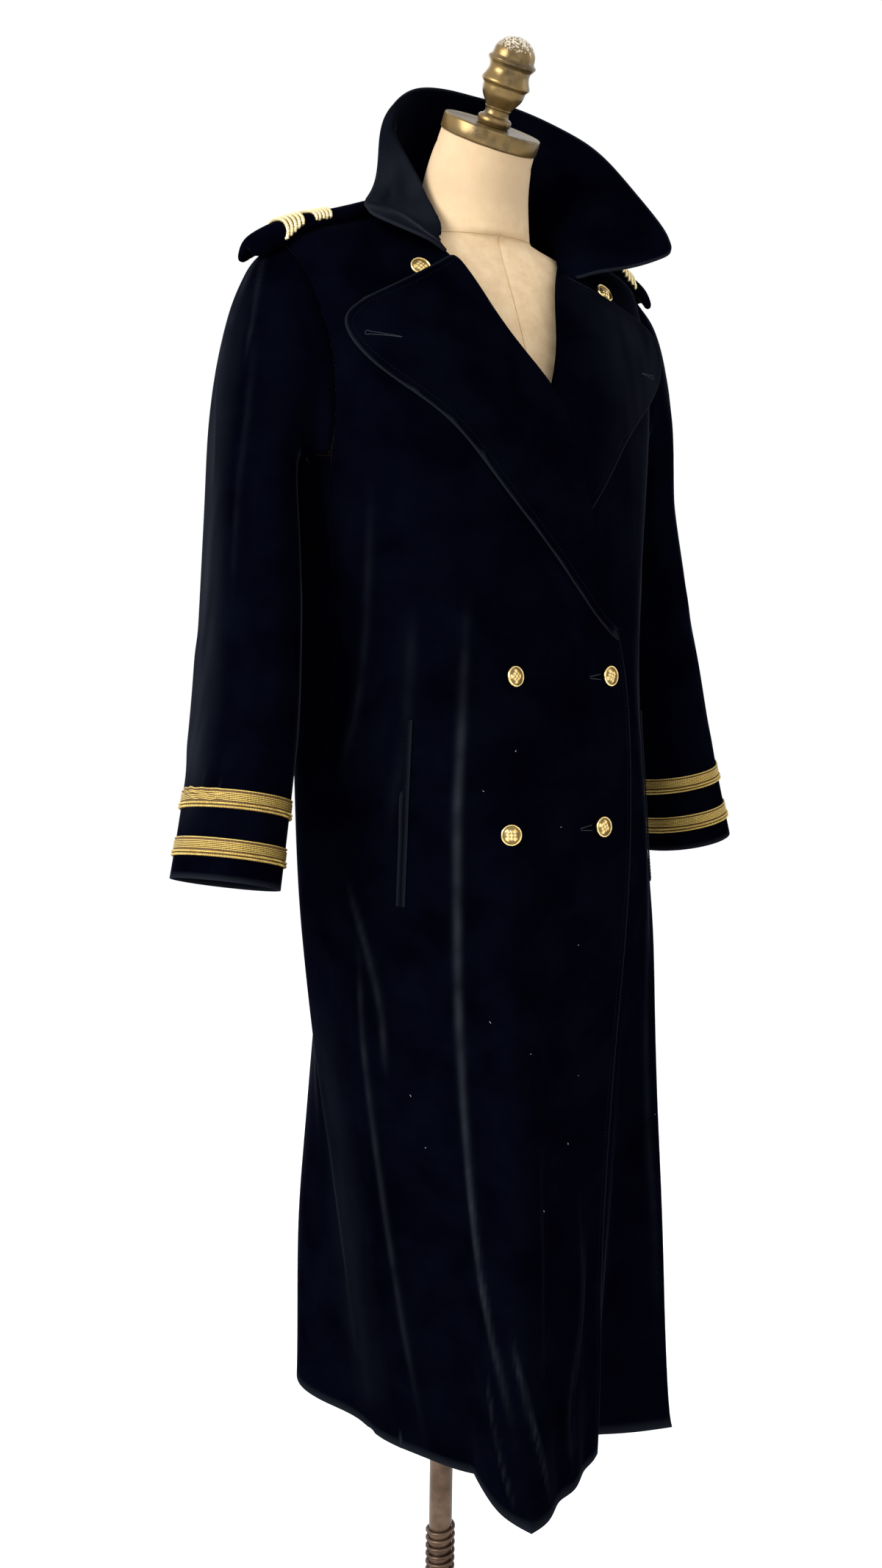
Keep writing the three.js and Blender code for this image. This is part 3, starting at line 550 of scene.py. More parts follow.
def edge_run(piece, keep=lambda x, y, z: True):
    """The longest kept stretch of the open edge, in order: a list of points."""
    table = points(piece)
    beside = {v: pair for v, pair in open_edge(piece).items() if keep(*(table[v] / MM))}
    left = dict(beside)
    runs = []
    while left:
        tips = [v for v in left if sum(b in left for b in beside[v]) < 2]
        here = tips[0] if tips else next(iter(left))
        run = []
        while here is not None:
            run.append(here)
            left.pop(here)
            here = next((b for b in beside[here] if b in left), None)
        runs.append(run)
    longest = max(runs, key=len)
    return [Vector(table[v]) for v in longest]


def from_edge(piece, rim):
    """The distance of each point from a set of edge points, in metres."""
    tree = nearby(rim)
    return np.array([tree.find(p)[2] for p in points(piece)])


def tuck(piece, keep, deep=1.4, wide=3.5, hold=14):
    """Sinks a sewn edge, as a seam does, and marks where it holds the cloth; sizes in mm."""
    distance = from_edge(piece, edge_points(piece, keep))
    mark(piece, "held", bell(distance, hold * MM))
    sink = deep * MM * bell(distance, wide * MM)
    move_points(piece, points(piece) - points(piece, "normal") * sink[:, None])


def even_out(piece, keep, rounds=60, spread=6):
    """Evens out a stretch of the open edge, and the cloth within spread mm goes with it."""
    table = points(piece)
    beside = {v: pair[:2] for v, pair in open_edge(piece).items() if keep(*(table[v] / MM))}
    edge = list(beside)
    before, after = np.array([beside[v] for v in edge]).T
    smooth = table.copy()
    for _ in range(rounds):
        smooth[edge] = 0.5 * smooth[edge] + 0.25 * (smooth[before] + smooth[after])
    pull_along(piece, table[edge], smooth[edge] - table[edge], spread)


def pull_along(piece, handles, steps, spread):
    """Moves some points by their steps, and those within about spread mm of one along with it."""
    tree = nearby(handles)
    table = points(piece)
    for number, p in enumerate(table):
        spot, nearest, far = tree.find(p)
        table[number] = p + steps[nearest] * bell(far, spread * MM)
    move_points(piece, table)


def area_of(piece):
    return sum(f.area for f in piece.data.polygons)

# %% [markdown]
# ## Sewing
#
# The edges of lapels, collar, front and pockets are topstitched 8 mm in, by machine, in a
# thread of the velvet's colour. One stitch is modelled as a small long bead. An Array modifier
# repeats it along a curve and a Curve modifier bends the row to it, as a seam needs hundreds.

# %% Thread
def spun(name, colour, plies, **shader_settings):
    """Spun thread or fibre, whose twist breaks up the light; plies is their number to a metre."""
    material = new_material(name, Base_Color=rgb(colour), **shader_settings)
    at = add_node(material, "TexCoord")
    ply = add_node(material, "TexNoise", {"Scale": plies}, {"Vector": (at, "Object")})
    bump = add_node(
        material, "Bump", {"Strength": 0.5, "Distance": 0.1 * MM}, {"Height": (ply, "Fac")}
    )
    join(material, bump, "Normal", "Normal")
    return material


thread = spun("navy sewing thread", "#05070d", 1000 / 0.4, Roughness=0.9, Specular_IOR_Level=0.1)
twist = spun("grey buttonhole twist", "#2e3136", 1000 / 0.4, Roughness=0.9, Specular_IOR_Level=0.1)

TOPSTITCH_IN = 8 * MM        # from the edge


def new_curve(name):
    curve = bpy.data.curves.new(name, "CURVE")
    curve.dimensions = "3D"
    return curve


def add_line(curve, line):
    spline = curve.splines.new("POLY")
    spline.points.add(len(line) - 1)
    spline.points.foreach_set("co", np.array([[*p, 1] for p in line], np.float32).ravel())
    return spline


def row_of_stitches(name, line, long=2.9, gap=4.1, thick=0.55, finish=None):
    """Sews a row of stitches along a line of points; sizes in mm."""
    curve = new_curve(name + "_path")
    add_line(curve, line)
    path = new_piece(name + "_path", curve)
    only(path)
    bpy.ops.mesh.primitive_uv_sphere_add(segments=6, ring_count=4, radius=1)
    row = bpy.context.active_object
    row.name = name
    row.data.transform(Matrix.Rotation(math.pi / 2, 4, "Y"))
    row.data.transform(Matrix.Diagonal((long / 2 * MM, thick / 2 * MM, thick / 2 * MM, 1)))
    apply(
        row,
        "ARRAY",
        fit_type="FIT_CURVE",
        curve=path,
        use_relative_offset=False,
        use_constant_offset=True,
        constant_offset_displace=(gap * MM, 0, 0),
    )
    apply(row, "CURVE", object=path, deform_axis="POS_X")
    bpy.data.objects.remove(path)
    row.data.materials.append(finish or thread)
    shade(row)
    sew_on(row)
    return row


def even(run, gap):
    """The same line with points an even gap apart, in metres."""
    table = np.array([tuple(p) for p in run])
    steps = np.linalg.norm(np.diff(table, axis=0), axis=1)
    far = np.concatenate([[0], np.cumsum(steps)])
    at = np.arange(0, far[-1], gap)
    return [Vector([np.interp(a, far, table[:, k]) for k in range(3)]) for a in at]


def inside_line(piece, run, away, lift=0.2 * MM):
    """A line on the cloth, away metres in from a stretch of its edge."""
    tree = surface(piece)
    line = []
    for before, here, after in zip(run, run[1:], run[2:]):
        tangent = (after - before).normalized()
        face = tree.find_nearest(here)[2]
        inward = piece.data.polygons[face].center - here
        inward = (inward - inward.project(tangent)).normalized()
        line.append(just_above(tree, here + inward * away, lift))
    return line


def press_groove(piece, line, deep=0.5, wide=2.2):
    """The thread pulls the cloth in a little along its row; sizes in mm."""
    table = points(piece)
    distance, along = near_line(table, [np.array(p) for p in even(line, 12 * MM)])
    sink = deep * MM * bell(distance, wide * MM)
    move_points(piece, table - points(piece, "normal") * sink[:, None])


def topstitch(piece, keep, name, away=TOPSTITCH_IN):
    line = even(inside_line(piece, edge_run(piece, keep), away), 3 * MM)
    press_groove(piece, line)
    row_of_stitches(name, line)
    print(name, "runs", round(len(line) * 3), "mm")

# %% [markdown]
# ## Fronts and back
#
# Both fronts are cut in one from shoulder to hem, with no waist seam, so their folds run the
# whole length. The strongest starts under the bust and falls to the front of the hem, where
# it stands out as a sharp point. At the hip each side is pulled towards the pocket.

# %% Body panels
HEM_TOP = 375                # mm, everything lower on an edge belongs to the hem
HEM_CORNER = 357             # the same where the side seam meets the hem
SHOULDER = 1690              # mm, an edge above this is the shoulder or the neck
UNDERARM = 1440
BREAK = 1290                 # where the lapel starts to turn over
LAP_EDGE = 55                # x of the right front's free edge: it lies further left than this
front_right = skin_of("front_right", "velvet_front_right")
front_left = skin_of("front_left", "velvet_front_left")
back = skin_of("back", "velvet_back")
for panel in (front_right, front_left, back):
    print(panel.name, len(panel.data.vertices), "points,", round(area_of(panel), 3), "square metres")


def is_seam(x, y, z):
    """Edge points of a body panel that are sewn to another: all but hem and front edge."""
    turn = abs(math.degrees(math.atan2(x, -y)))
    foot_of_side_seam = 50 < turn < 75 and z > HEM_CORNER
    return z > SHOULDER or foot_of_side_seam or (turn > 50 and z > HEM_TOP)


def is_front_edge(x, y, z):
    """Edge points of the right front where it laps over the left one."""
    return x > LAP_EDGE and z < BREAK


for panel in (front_right, front_left, back):
    tuck(panel, is_seam)
    ripple(panel, size=85, deep=1.6)

# %% [markdown]
# Now the folds, each a line of (turn, height) stops from top to bottom. `wide` is how far the
# fold reaches to each side and `deep` how far it stands out, or sinks where it is negative.
# No two have the same length, depth or distance, because real ones never do.

# %% Folds of the right front
# shine paints a paler highlight along a fold's crest.
RIGHT_FOLDS = [
    {"stops": [(-29, 1347), (-31, 1105), (-33, 871), (-30, 621), (-23, 420)], "wide": 15, "deep": 6,
     "shine": 0.8},
    {"stops": [(-44, 1330), (-46, 1180), (-52, 1060)], "wide": 20, "deep": 4, "shine": 0.1},
    {"stops": [(-56, 1455), (-58, 1300), (-62, 1200), (-70, 1125)], "wide": 15, "deep": 5, "shine": 0.15},
    {"stops": [(-52, 1440), (-55, 1290), (-58, 1190), (-64, 1110)], "wide": 12, "deep": -3},
    {"stops": [(-10, 800), (-11, 600), (-14, 420)], "wide": 18, "deep": -4},
    {"stops": [(3, 700), (3, 560), (-4, 440), (-1, 352)], "wide": 11, "deep": 4},
    {"stops": [(-45, 900), (-47, 700), (-49, 500), (-46, 352)], "wide": 17, "deep": -4},
    {"stops": [(-64, 980), (-67, 800), (-66, 600), (-62, 352)], "wide": 13, "deep": 5, "shine": 0.35},
    {"stops": [(-70, 1040), (-62, 960), (-58, 880), (-60, 800)], "wide": 14, "deep": 4, "shine": 0.3},
    {"stops": [(-24, 560), (-20, 470), (-14, 352)], "wide": 8, "deep": 2.5, "shine": 0.5},
    {"stops": [(-30, 500), (-28, 430), (-24, 352)], "wide": 9, "deep": 3, "shine": 0.35},
]
for line in RIGHT_FOLDS:
    fold(front_right, **line)

# %% Folds of the left front and of the back
LEFT_FOLDS = [
    {"stops": [(38, 1330), (40, 1120), (44, 900), (48, 640), (50, 420)], "wide": 17, "deep": 4},
    {"stops": [(60, 1400), (62, 1250), (66, 1130)], "wide": 15, "deep": 4},
    {"stops": [(30, 950), (32, 700), (34, 352)], "wide": 20, "deep": -4},
    {"stops": [(66, 900), (68, 650), (72, 352)], "wide": 16, "deep": 4},
]
BACK_FOLDS = [
    {"stops": [(180, 1180), (179, 900), (182, 600), (181, 375)], "wide": 24, "deep": 6},
    {"stops": [(158, 1230), (156, 980), (155, 700), (154, 375)], "wide": 20, "deep": -5},
    {"stops": [(136, 1150), (132, 900), (130, 640), (128, 375)], "wide": 19, "deep": 5},
    {"stops": [(206, 1210), (205, 940), (203, 650), (204, 375)], "wide": 22, "deep": -6},
    {"stops": [(226, 1260), (222, 1000), (221, 700), (221, 375)], "wide": 18, "deep": 5},
    {"stops": [(246, 1120), (250, 900), (254, 650), (256, 375)], "wide": 16, "deep": -5},
    {"stops": [(108, 1200), (104, 950), (101, 650), (100, 375)], "wide": 18, "deep": -4},
    {"stops": [(120, 1600), (133, 1520), (150, 1480)], "wide": 16, "deep": 3},
    {"stops": [(240, 1600), (226, 1515), (208, 1470)], "wide": 15, "deep": 3},
]
for line in LEFT_FOLDS:
    fold(front_left, **line)
for line in BACK_FOLDS:
    fold(back, **line)
print(len(RIGHT_FOLDS) + len(LEFT_FOLDS) + len(BACK_FOLDS), "folds pressed into the body")

# %% Front edge and side seams
HEM_FRONT = 346              # mm
SEAM_DEEP = 2.8 * MM         # how far inside a side seam its allowances lie
SEAM_LOW = 9 * MM            # how far they reach down into the hem

topstitch(front_right, lambda x, y, z: is_front_edge(x, y, z) and z > HEM_FRONT, "topstitch_front")
side_seams = {}
for panel in (front_right, front_left):
    run = edge_run(panel, lambda x, y, z: is_seam(x, y, z) and z < UNDERARM)
    run.sort(key=lambda p: p.z)
    run.insert(0, run[0] - Vector((0, 0, SEAM_LOW)))
    side_seams[panel.name] = [p + (axis_at(p.z / MM) - p).normalized() * SEAM_DEEP for p in run]
# A broad sheen is painted on the left front and on the back.
paint_broad_sheen(front_left, centre=60, reach=40, heights=(1300, 1700), share=0.2)
paint_broad_sheen(back, centre=-95, reach=20, heights=(350, 900), share=0.12)


# %% Cloth of the body
def has_edge_highlight(x, y, z):
    """The hem and the front edge, which get a painted highlight. The side seams are too far round to be
    meant.
    """
    return z < HEM_TOP or (is_front_edge(x, y, z) and abs(math.atan2(x, -y)) < 1.0)


for panel, node in ((front_right, "front_right"), (front_left, "front_left"), (back, "back")):
    cloth(panel, worn=has_edge_highlight)
    sew_on(panel, node)

# %% [markdown]
# ## Lapels and collar
#
# Each lapel is two layers of velvet, pressed together and topstitched, so it is stiffer than
# the fronts and bends in one clean curve from the roll line. The collar has a stiffening
# between its layers and stands up by itself.

# %% Lapels
LEAF = 2.6 * MM              # both layers of a lapel
lapels = {}


def free_edge_right(x, y, z):
    """All but the roll line, which climbs 385 mm for each 155 mm towards the right shoulder."""
    return (x - 70) * 385 + (z - 1291) * 155 < 4000


def free_edge_left(x, y, z):
    """All but the roll line, which climbs 292 mm for each 114 mm towards the left shoulder."""
    return (x + 54) * 292 - (z - 1376) * 114 > 3000


for side, free_edge in (("right", free_edge_right), ("left", free_edge_left)):
    lapel = skin_of("lapel_" + side, "velvet_lapel_" + side, wall=LEAF, corner_turn=180)
    ripple(lapel, size=60, deep=0.8)
    topstitch(lapel, free_edge, "topstitch_lapel_" + side)
    # The left lapel gets a painted sheen.
    if side == "left":
        paint_broad_sheen(lapel, centre=50, reach=35, heights=(1350, 1700), share=0.3)
    lapels[side] = cloth(lapel, wall=LEAF, soft_edge=0.9 * MM, worn=free_edge)
    sew_on(lapel, "lapel_" + side)

# %% Skin of the collar
COLLAR_WALL = 3 * MM
COLLAR_MIDDLE = Vector((0, 0, 1.7))
rim = 0.85 * COLLAR_WALL     # at its tip the collar has other short edges, which aren't its rim
collar = skin_of("collar", "velvet_collar", inside=COLLAR_MIDDLE, wall=rim, corner_turn=180)
ripple(collar, size=70, deep=1.2)


def free_edge_collar(x, y, z):
    """The upper edge and both tips, which stand far out in front."""
    return z > 1765 or (math.hypot(x, y + 25) > 118 and y < 0)


def is_neck_seam(x, y, z):
    return not free_edge_collar(x, y, z)


# %% [markdown]
# The collar is sewn to the neck of the coat, so its lower edge is pulled onto the body panels.
# Each edge point gets the step to the nearest cloth. The steps are averaged along the seam, so
# that it stays a smooth line, and the cloth beside the seam goes with it.

# %% Settle the neck seam on the coat
ON_COAT = 0.4 * MM           # clear space between the seam and the body
TOO_FAR = 16 * MM            # a point further off than this belongs somewhere else
neck_seam = edge_points(collar, is_neck_seam)
bodies = [surface(panel) for panel in (front_right, front_left, back)]
pulls = []
for p in neck_seam:
    near = min((tree.find_nearest(p) for tree in bodies), key=lambda found: found[3])
    step = near[0] + near[1] * ON_COAT - Vector(p)
    pulls.append(step if step.length < TOO_FAR else Vector((0, 0, 0)))
apart = np.linalg.norm(neck_seam[:, None] - neck_seam[None], axis=2)
weights = bell(apart, 9 * MM)
pulls = weights @ np.array(pulls) / weights.sum(1)[:, None]
pull_along(collar, neck_seam, pulls, spread=20)
even_out(collar, is_neck_seam)
print("the neck seam moved by up to", round(np.linalg.norm(pulls, axis=1).max() / MM, 1), "mm")
neck_line = edge_run(collar, lambda x, y, z: is_neck_seam(x, y, z) and (x > -55 or y > -40))
topstitch(collar, free_edge_collar, "topstitch_collar")

# %% [markdown]
# The fall of the collar rests on the right shoulder in a soft roll, and a broad sheen is painted on it.

# %% Roll on the shoulder
ROLL_AT = np.array((-130, -28, 1741)) * MM
ROLL_STEP = np.array((-10, 0, -3)) * MM
table = points(collar)
in_roll = bell(np.linalg.norm(table - ROLL_AT, axis=1), 30 * MM)
move_points(collar, table + in_roll[:, None] * ROLL_STEP)


def neck_middle(height):
    return Vector((0, -60, height)) * MM


paint_broad_sheen(collar, centre=-95, reach=70, heights=(1640, 1990), share=0.5, middle=neck_middle)
cloth(collar, wall=COLLAR_WALL, soft_edge=1.0 * MM, worn=free_edge_collar)
sew_on(collar, "collar")

# %% [markdown]
# ## Sleeves
#
# The sleeve head is cut longer than the armhole and gathered over a shoulder pad, so short
# soft folds run down from the seam. Lower down the sleeve hangs almost straight.

# %% Middle line of a sleeve
SLEEVE_MIDDLE = {            # (height, x, y) stops from the shoulder to the cuff, in mm
    "right": [(1690, -236, 0), (1600, -243, -3), (1440, -262, -6), (1250, -276, -31), (1024, -319, -64)],
    "left": [(1690, 236, 0), (1600, 243, 4), (1440, 262, 16), (1250, 276, -16), (1024, 319, -36)],
}


def sleeve_middle(side):
    table = np.array(SLEEVE_MIDDLE[side][::-1], float)

    def at(height):
        x = np.interp(height, table[:, 0], table[:, 1])
        y = np.interp(height, table[:, 0], table[:, 2])
        return Vector((x, y, height)) * MM

    return at


# %% [markdown]
# The folds of a sleeve start at its seam. They are drawn for the right sleeve. The left sleeve
# has their mirror image, moved a little so that the two aren't twins. Just above the upper
# braid the cloth is gathered a little, because a braid sewn on tightly draws it in.

# %% Folds of the sleeves
SLEEVE_FOLDS = [
    {"stops": [(-58, 1690), (-68, 1640), (-76, 1570), (-80, 1470)], "wide": 12, "deep": 3, "shine": 0.4},
    {"stops": [(-38, 1680), (-40, 1620), (-44, 1550)], "wide": 9, "deep": 2, "shine": 0.2},
    {"stops": [(-80, 1650), (-78, 1560), (-72, 1440), (-70, 1330)], "wide": 13, "deep": 3},
    {"stops": [(-55, 1640), (-52, 1560), (-48, 1460)], "wide": 10, "deep": -2.5},
    {"stops": [(-35, 1600), (-33, 1500), (-38, 1390), (-44, 1300)], "wide": 13, "deep": 3},
    {"stops": [(-100, 1620), (-104, 1520), (-110, 1400)], "wide": 12, "deep": -2.5},
    {"stops": [(-62, 1250), (-70, 1190), (-84, 1140), (-96, 1115)], "wide": 12, "deep": 2.5},
    {"stops": [(-20, 1330), (-14, 1240), (-16, 1150)], "wide": 14, "deep": -2.5},
    {"stops": [(-118, 1300), (-126, 1210), (-122, 1130)], "wide": 14, "deep": 3},
    {"stops": [(170, 1480), (176, 1330), (172, 1180)], "wide": 16, "deep": 3},
    {"stops": [(130, 1400), (126, 1260), (132, 1130)], "wide": 13, "deep": -2.5},
    {"stops": [(55, 1380), (60, 1250), (58, 1120)], "wide": 13, "deep": 2.5},
]
GATHERS = [-116, -104, -93, -83, -74, -64, -52, -41]     # turns of the short gathers
GATHER_FOOT = 1120           # mm, just above the upper braid


def fold_sleeve(sleeve, middle, mirrored):
    sign = -1 if mirrored else 1
    for number, line in enumerate(SLEEVE_FOLDS):
        shift = 9 * math.sin(2.3 * number) if mirrored else 0
        stops = [(sign * (turn + shift), height - abs(shift)) for turn, height in line["stops"]]
        shine = line.get("shine", 0.08)
        fold(sleeve, stops, line["wide"], line["deep"], shine=shine, middle=middle)
    for number, turn in enumerate(GATHERS):
        top = GATHER_FOOT + 30 + 12 * math.sin(1.7 * number)
        stops = [(sign * turn, top), (sign * (turn + 2), GATHER_FOOT)]
        deep = 1.1 if number % 2 else -0.9
        fold(sleeve, stops, wide=4.5, deep=deep, fade=(0.6, 0.1), middle=middle)


# %% Sleeves
ELBOW = 1300                 # mm, an edge above this is the armhole's and one below is the cuff's
sleeves = {}
armhole_lines = {}


def is_armhole(x, y, z):
    return z > ELBOW


for side in ("right", "left"):
    middle = sleeve_middle(side)
    sleeve = skin_of("sleeve_" + side, "velvet_sleeve_" + side, inside=middle(ELBOW))
    ripple(sleeve, size=80, deep=1.5)
    fold_sleeve(sleeve, middle, mirrored=side == "left")
    # The right sleeve gets a broad painted sheen on its outer side.
    if side == "right":
        paint_broad_sheen(sleeve, centre=-105, reach=62, heights=(1050, 1780), share=0.5, middle=middle)
    tuck(sleeve, is_armhole)
    armhole = edge_run(sleeve, is_armhole)
    centre = sum(armhole, Vector()) / len(armhole)
    to_coat = Vector((0.84 if side == "right" else -0.84, 0, 0)) * MM
    armhole_lines[side] = [
        p + (centre - p).normalized() * 2.6 * MM + to_coat for p in even(armhole + armhole[:1], 6 * MM)
    ]
    sleeves[side] = cloth(sleeve, worn=lambda x, y, z: z < 1100)
    sew_on(sleeve, "sleeve_" + side)
    print("sleeve", side, round(area_of(sleeve) / 2, 3), "square metres of velvet")

# %% [markdown]
# ## Shoulder boards
#
# A board is a stuffed roll of velvet over a stiff core. Its solid gives the outline. Here the
# padding swells it, most at the outer end, which droops a little over the sleeve, and the inner
# end is drawn out until it goes under the collar. Then the board is settled on the shoulder: an
# underside that would float comes down and one that would sink in comes up. A voxel remesh and a
# Smooth modifier turn the result into one even skin again.

# %% Swell a board
BOARD_STUFFING = 1.2 * MM    # how far the padding swells the cover
END_STUFFING = 2.6 * MM      # how much further at the outer end
END_DROOP = 3.5 * MM
BOARD_INNER = 160 * MM       # x from which the inner end is drawn out, by BOARD_REACH
BOARD_REACH = 1.85
SHOULDER_SLOPE = 0.355       # climb towards the neck


def swell(board, sign):
    """Pads a board; returns for each point how much it belongs to the outer end."""
    table = points(board)
    drawn_out = np.clip(BOARD_INNER - abs(table[:, 0]), 0, None) * (BOARD_REACH - 1)
    table[:, 0] -= sign * drawn_out
    table[:, 2] += drawn_out * SHOULDER_SLOPE
    outer_end = smoothly(222, 252, abs(table[:, 0]) / MM)
    table += points(board, "normal") * (BOARD_STUFFING + END_STUFFING * outer_end)[:, None]
    table[:, 2] -= END_DROOP * outer_end
    move_points(board, table)
    return outer_end


# %% Settle a board on the shoulder
BOARD_CLEAR = 0.5 * MM       # over the cloth
BOARD_FALL = 6 * MM          # the most that a point comes down
ABOVE = Vector((0, 0, 40 * MM))
DOWN = Vector((0, 0, -1))


def settle(board, under, outer_end):
    table = points(board)
    faces_down = smoothly(0.05, -0.7, points(board, "normal")[:, 2])
    for number, p in enumerate(table):
        hits = [tree.ray_cast(Vector(p) + ABOVE, DOWN, 0.2)[0] for tree in under]
        shoulder = max((hit.z for hit in hits if hit), default=None)
        if shoulder is None:
            continue
        rest = max(shoulder + BOARD_CLEAR, p[2] - BOARD_FALL)
        if p[2] < rest:
            table[number][2] = rest
        else:
            table[number][2] += (rest - p[2]) * faces_down[number] * (1 - outer_end[number])
    move_points(board, table)


# %% Shoulder boards
boards = {}
for side, sign in (("right", -1), ("left", 1)):
    board = copy_of("epaulette_" + side, "velvet_board_" + side)
    to_quads(board)
    apply(board, "SUBSURF", levels=3, render_levels=3)
    outer_end = swell(board, sign)
    settle(board, [surface(piece) for piece in (front_right, front_left, back, sleeves[side])], outer_end)
    apply(board, "REMESH", mode="VOXEL", voxel_size=2.2 * MM)
    apply(board, "SMOOTH", factor=0.5, iterations=8)
    ripple(board, size=22, deep=0.5)
    board.data.materials.append(velvet)
    shade(board)
    sew_on(board, "epaulette_" + side)
    boards[side] = board
    print(board.name, "has", len(board.data.polygons), "faces")

# %% [markdown]
# ## Gold braid
#
# Officers' braid is 18 mm wide and made of cords wrapped in metal thread, side by side on a
# backing: a thin cord along the upper edge, five in the middle and two twisted pairs along the
# lower edge, with a dark gap between the groups. Each cord is a curve with a round bevel, laid
# on the finished sleeve, because the light on braid comes from the roundness of its cords.

# %% Gold of the braid
WRAP = 1.4                   # mm, one turn of the metal thread, drawn coarser so that it shows
braid_gold = new_material("metal-wrapped braid", Metallic=0.8, Roughness=0.42)
lay_of_wrap = add_node(braid_gold, "Attribute", attribute_name="along")
wraps = add_node(
    braid_gold, "Math", {1: 2 * math.pi / WRAP}, {0: (lay_of_wrap, "Fac")}, operation="MULTIPLY"
)
wrap_wave = add_node(braid_gold, "Math", links={0: (wraps, 0)}, operation="SINE")
wrap_half = add_node(
    braid_gold, "Math", {1: 0.5, 2: 0.5}, {0: (wrap_wave, 0)}, operation="MULTIPLY_ADD"
)
# Each turn of the wrap is painted dark in its groove as shade and pale on its top as a highlight.
wrap_shade_and_highlight = ramp(braid_gold, wrap_half, 0, [(0.0, "#7b5b1c"), (0.35, "#b5923c"), (0.8, "#d6c27a")])
braid_where = add_node(braid_gold, "TexCoord")
TARNISH = 45                 # patches to a metre, each about 22 mm across
tarnish = add_node(
    braid_gold, "TexNoise", {"Scale": TARNISH, "Detail": 4.0}, {"Vector": (braid_where, "Object")}
)
tarnish_share = ramp(braid_gold, tarnish, "Fac", [(0.5, "#000000"), (0.75, "#8c8c8c")])
worn_gold = add_node(
    braid_gold,
    "MixRGB",
    {"Color2": rgb("#8e6a1b")},
    {"Fac": (tarnish_share, "Color"), "Color1": (wrap_shade_and_highlight, "Color")},
)
# The boards' cords are mixed towards pale cream as a painted highlight, where they catch more light.
pale = add_node(braid_gold, "Attribute", attribute_name="pale")
braid_colour = add_node(
    braid_gold,
    "MixRGB",
    {"Color2": rgb("#fbeec2")},
    {"Fac": (pale, "Fac"), "Color1": (worn_gold, "Color")},
)
join(braid_gold, braid_colour, "Color", "Base Color")
wrap_bump = add_node(
    braid_gold, "Bump", {"Strength": 0.8, "Distance": 0.25 * MM}, {"Height": (wrap_half, 0)}
)
join(braid_gold, wrap_bump, "Normal", "Normal")

# %% Backing of the braid
GROUND_WEAVE = 900           # threads to a metre, 1.1 mm each
# The backing is real, but its brown is painted darker, as the shade that falls between the cords.
braid_ground = new_material("dark backing of the braid", Metallic=0.2, Roughness=0.75)
ground_where = add_node(braid_ground, "TexCoord")
ground_weave = add_node(
    braid_ground, "TexNoise", {"Scale": GROUND_WEAVE}, {"Vector": (ground_where, "Object")}
)
ground_colour = ramp(braid_ground, ground_weave, "Fac", [(0.3, "#2c1e0a"), (0.7, "#6b4a14")])
join(braid_ground, ground_colour, "Color", "Base Color")


# %% A strip on the cloth
def strip_edges(node, inside, wall, across=None):
    """The lower and upper edge of a CAD strip's outer face, each in order round its middle."""
    spare = skin_of(node, "spare", inside, levels=0, wall=wall)
    table = points(spare)
    bpy.data.objects.remove(spare)
    middle = table.mean(0)
    if across is None:
        across = np.linalg.svd(table - middle)[2][2]
        across = across * np.sign(across[2])
    across = np.array(across, float)
    up = np.array((0, 1, 0) if abs(across[2]) > 0.7 else (0, 0, 1), float)
    side = np.cross(across, up)
    edges = []
    for part in (table[(table - middle) @ across < 0], table[(table - middle) @ across > 0]):
        turn = np.arctan2((part - middle) @ side, (part - middle) @ up)
        edges.append(part[np.argsort(turn)])
    return edges


def laid(edges, share, closed, tree, lift, gap):
    """A line along a strip at a share of its width, lift metres above the cloth: points, normals."""
    low, high = edges
    middle = Vector((low.mean(0) + high.mean(0)) / 2)
    run = curve_through(low * (1 - share) + high * share, steps=10, closed=closed)
    if not closed:           # a bar goes on a little past both edges of its board
        run = [run[0] + (run[0] - run[4]) * 1.7, *run, run[-1] + (run[-1] - run[-5]) * 1.7]
    run = even(run + run[:1] if closed else run, gap)
    spots, normals = [], []
    for p in run:
        outside = p + (p - middle).normalized() * 5 * MM     # so that it meets the outer side
        spot, normal = tree.find_nearest(outside)[:2]
        spots.append(spot + normal * lift)
        normals.append(normal)
    if not closed:           # and its ends turn in
        spots[0] -= normals[0] * 3 * MM
        spots[-1] -= normals[-1] * 3 * MM
    return spots, normals


def twisted(spots, normals, strand, lay, start):
    """One strand of a twisted pair, wound round a line; strand radius and lay in metres."""
    wound = []
    far = 0
    for here, normal, after in zip(spots, normals, spots[1:] + spots[:1]):
        tangent = (after - here).normalized()
        side = tangent.cross(normal).normalized()
        turn = 2 * math.pi * far / lay + start
        wound.append(here + (normal * math.cos(turn) + side * math.sin(turn)) * strand)
        far += min((after - here).length, lay)
    return wound


def cords(name, runs, closed, finish):
    """Round cords along runs of points: one mesh from (points, radius in mm) pairs."""
    curve = new_curve(name)
    curve.bevel_depth = MM
    curve.bevel_resolution = 1 if closed else 3
    curve.use_fill_caps = not closed
    for line, radius in runs:
        spline = add_line(curve, line)
        spline.points.foreach_set("radius", [radius] * len(line))
        spline.use_cyclic_u = closed
    only(new_piece(name, curve))
    bpy.ops.object.convert(target="MESH")
    piece = bpy.context.active_object
    piece.data.materials.clear()
    piece.data.materials.append(finish)
    shade(piece)
    return piece


# %% [markdown]
# The same function closes the seams of the coat. The allowances of both cloths lie inside a
# seam as one soft roll of velvet, so no light comes through between two panels.

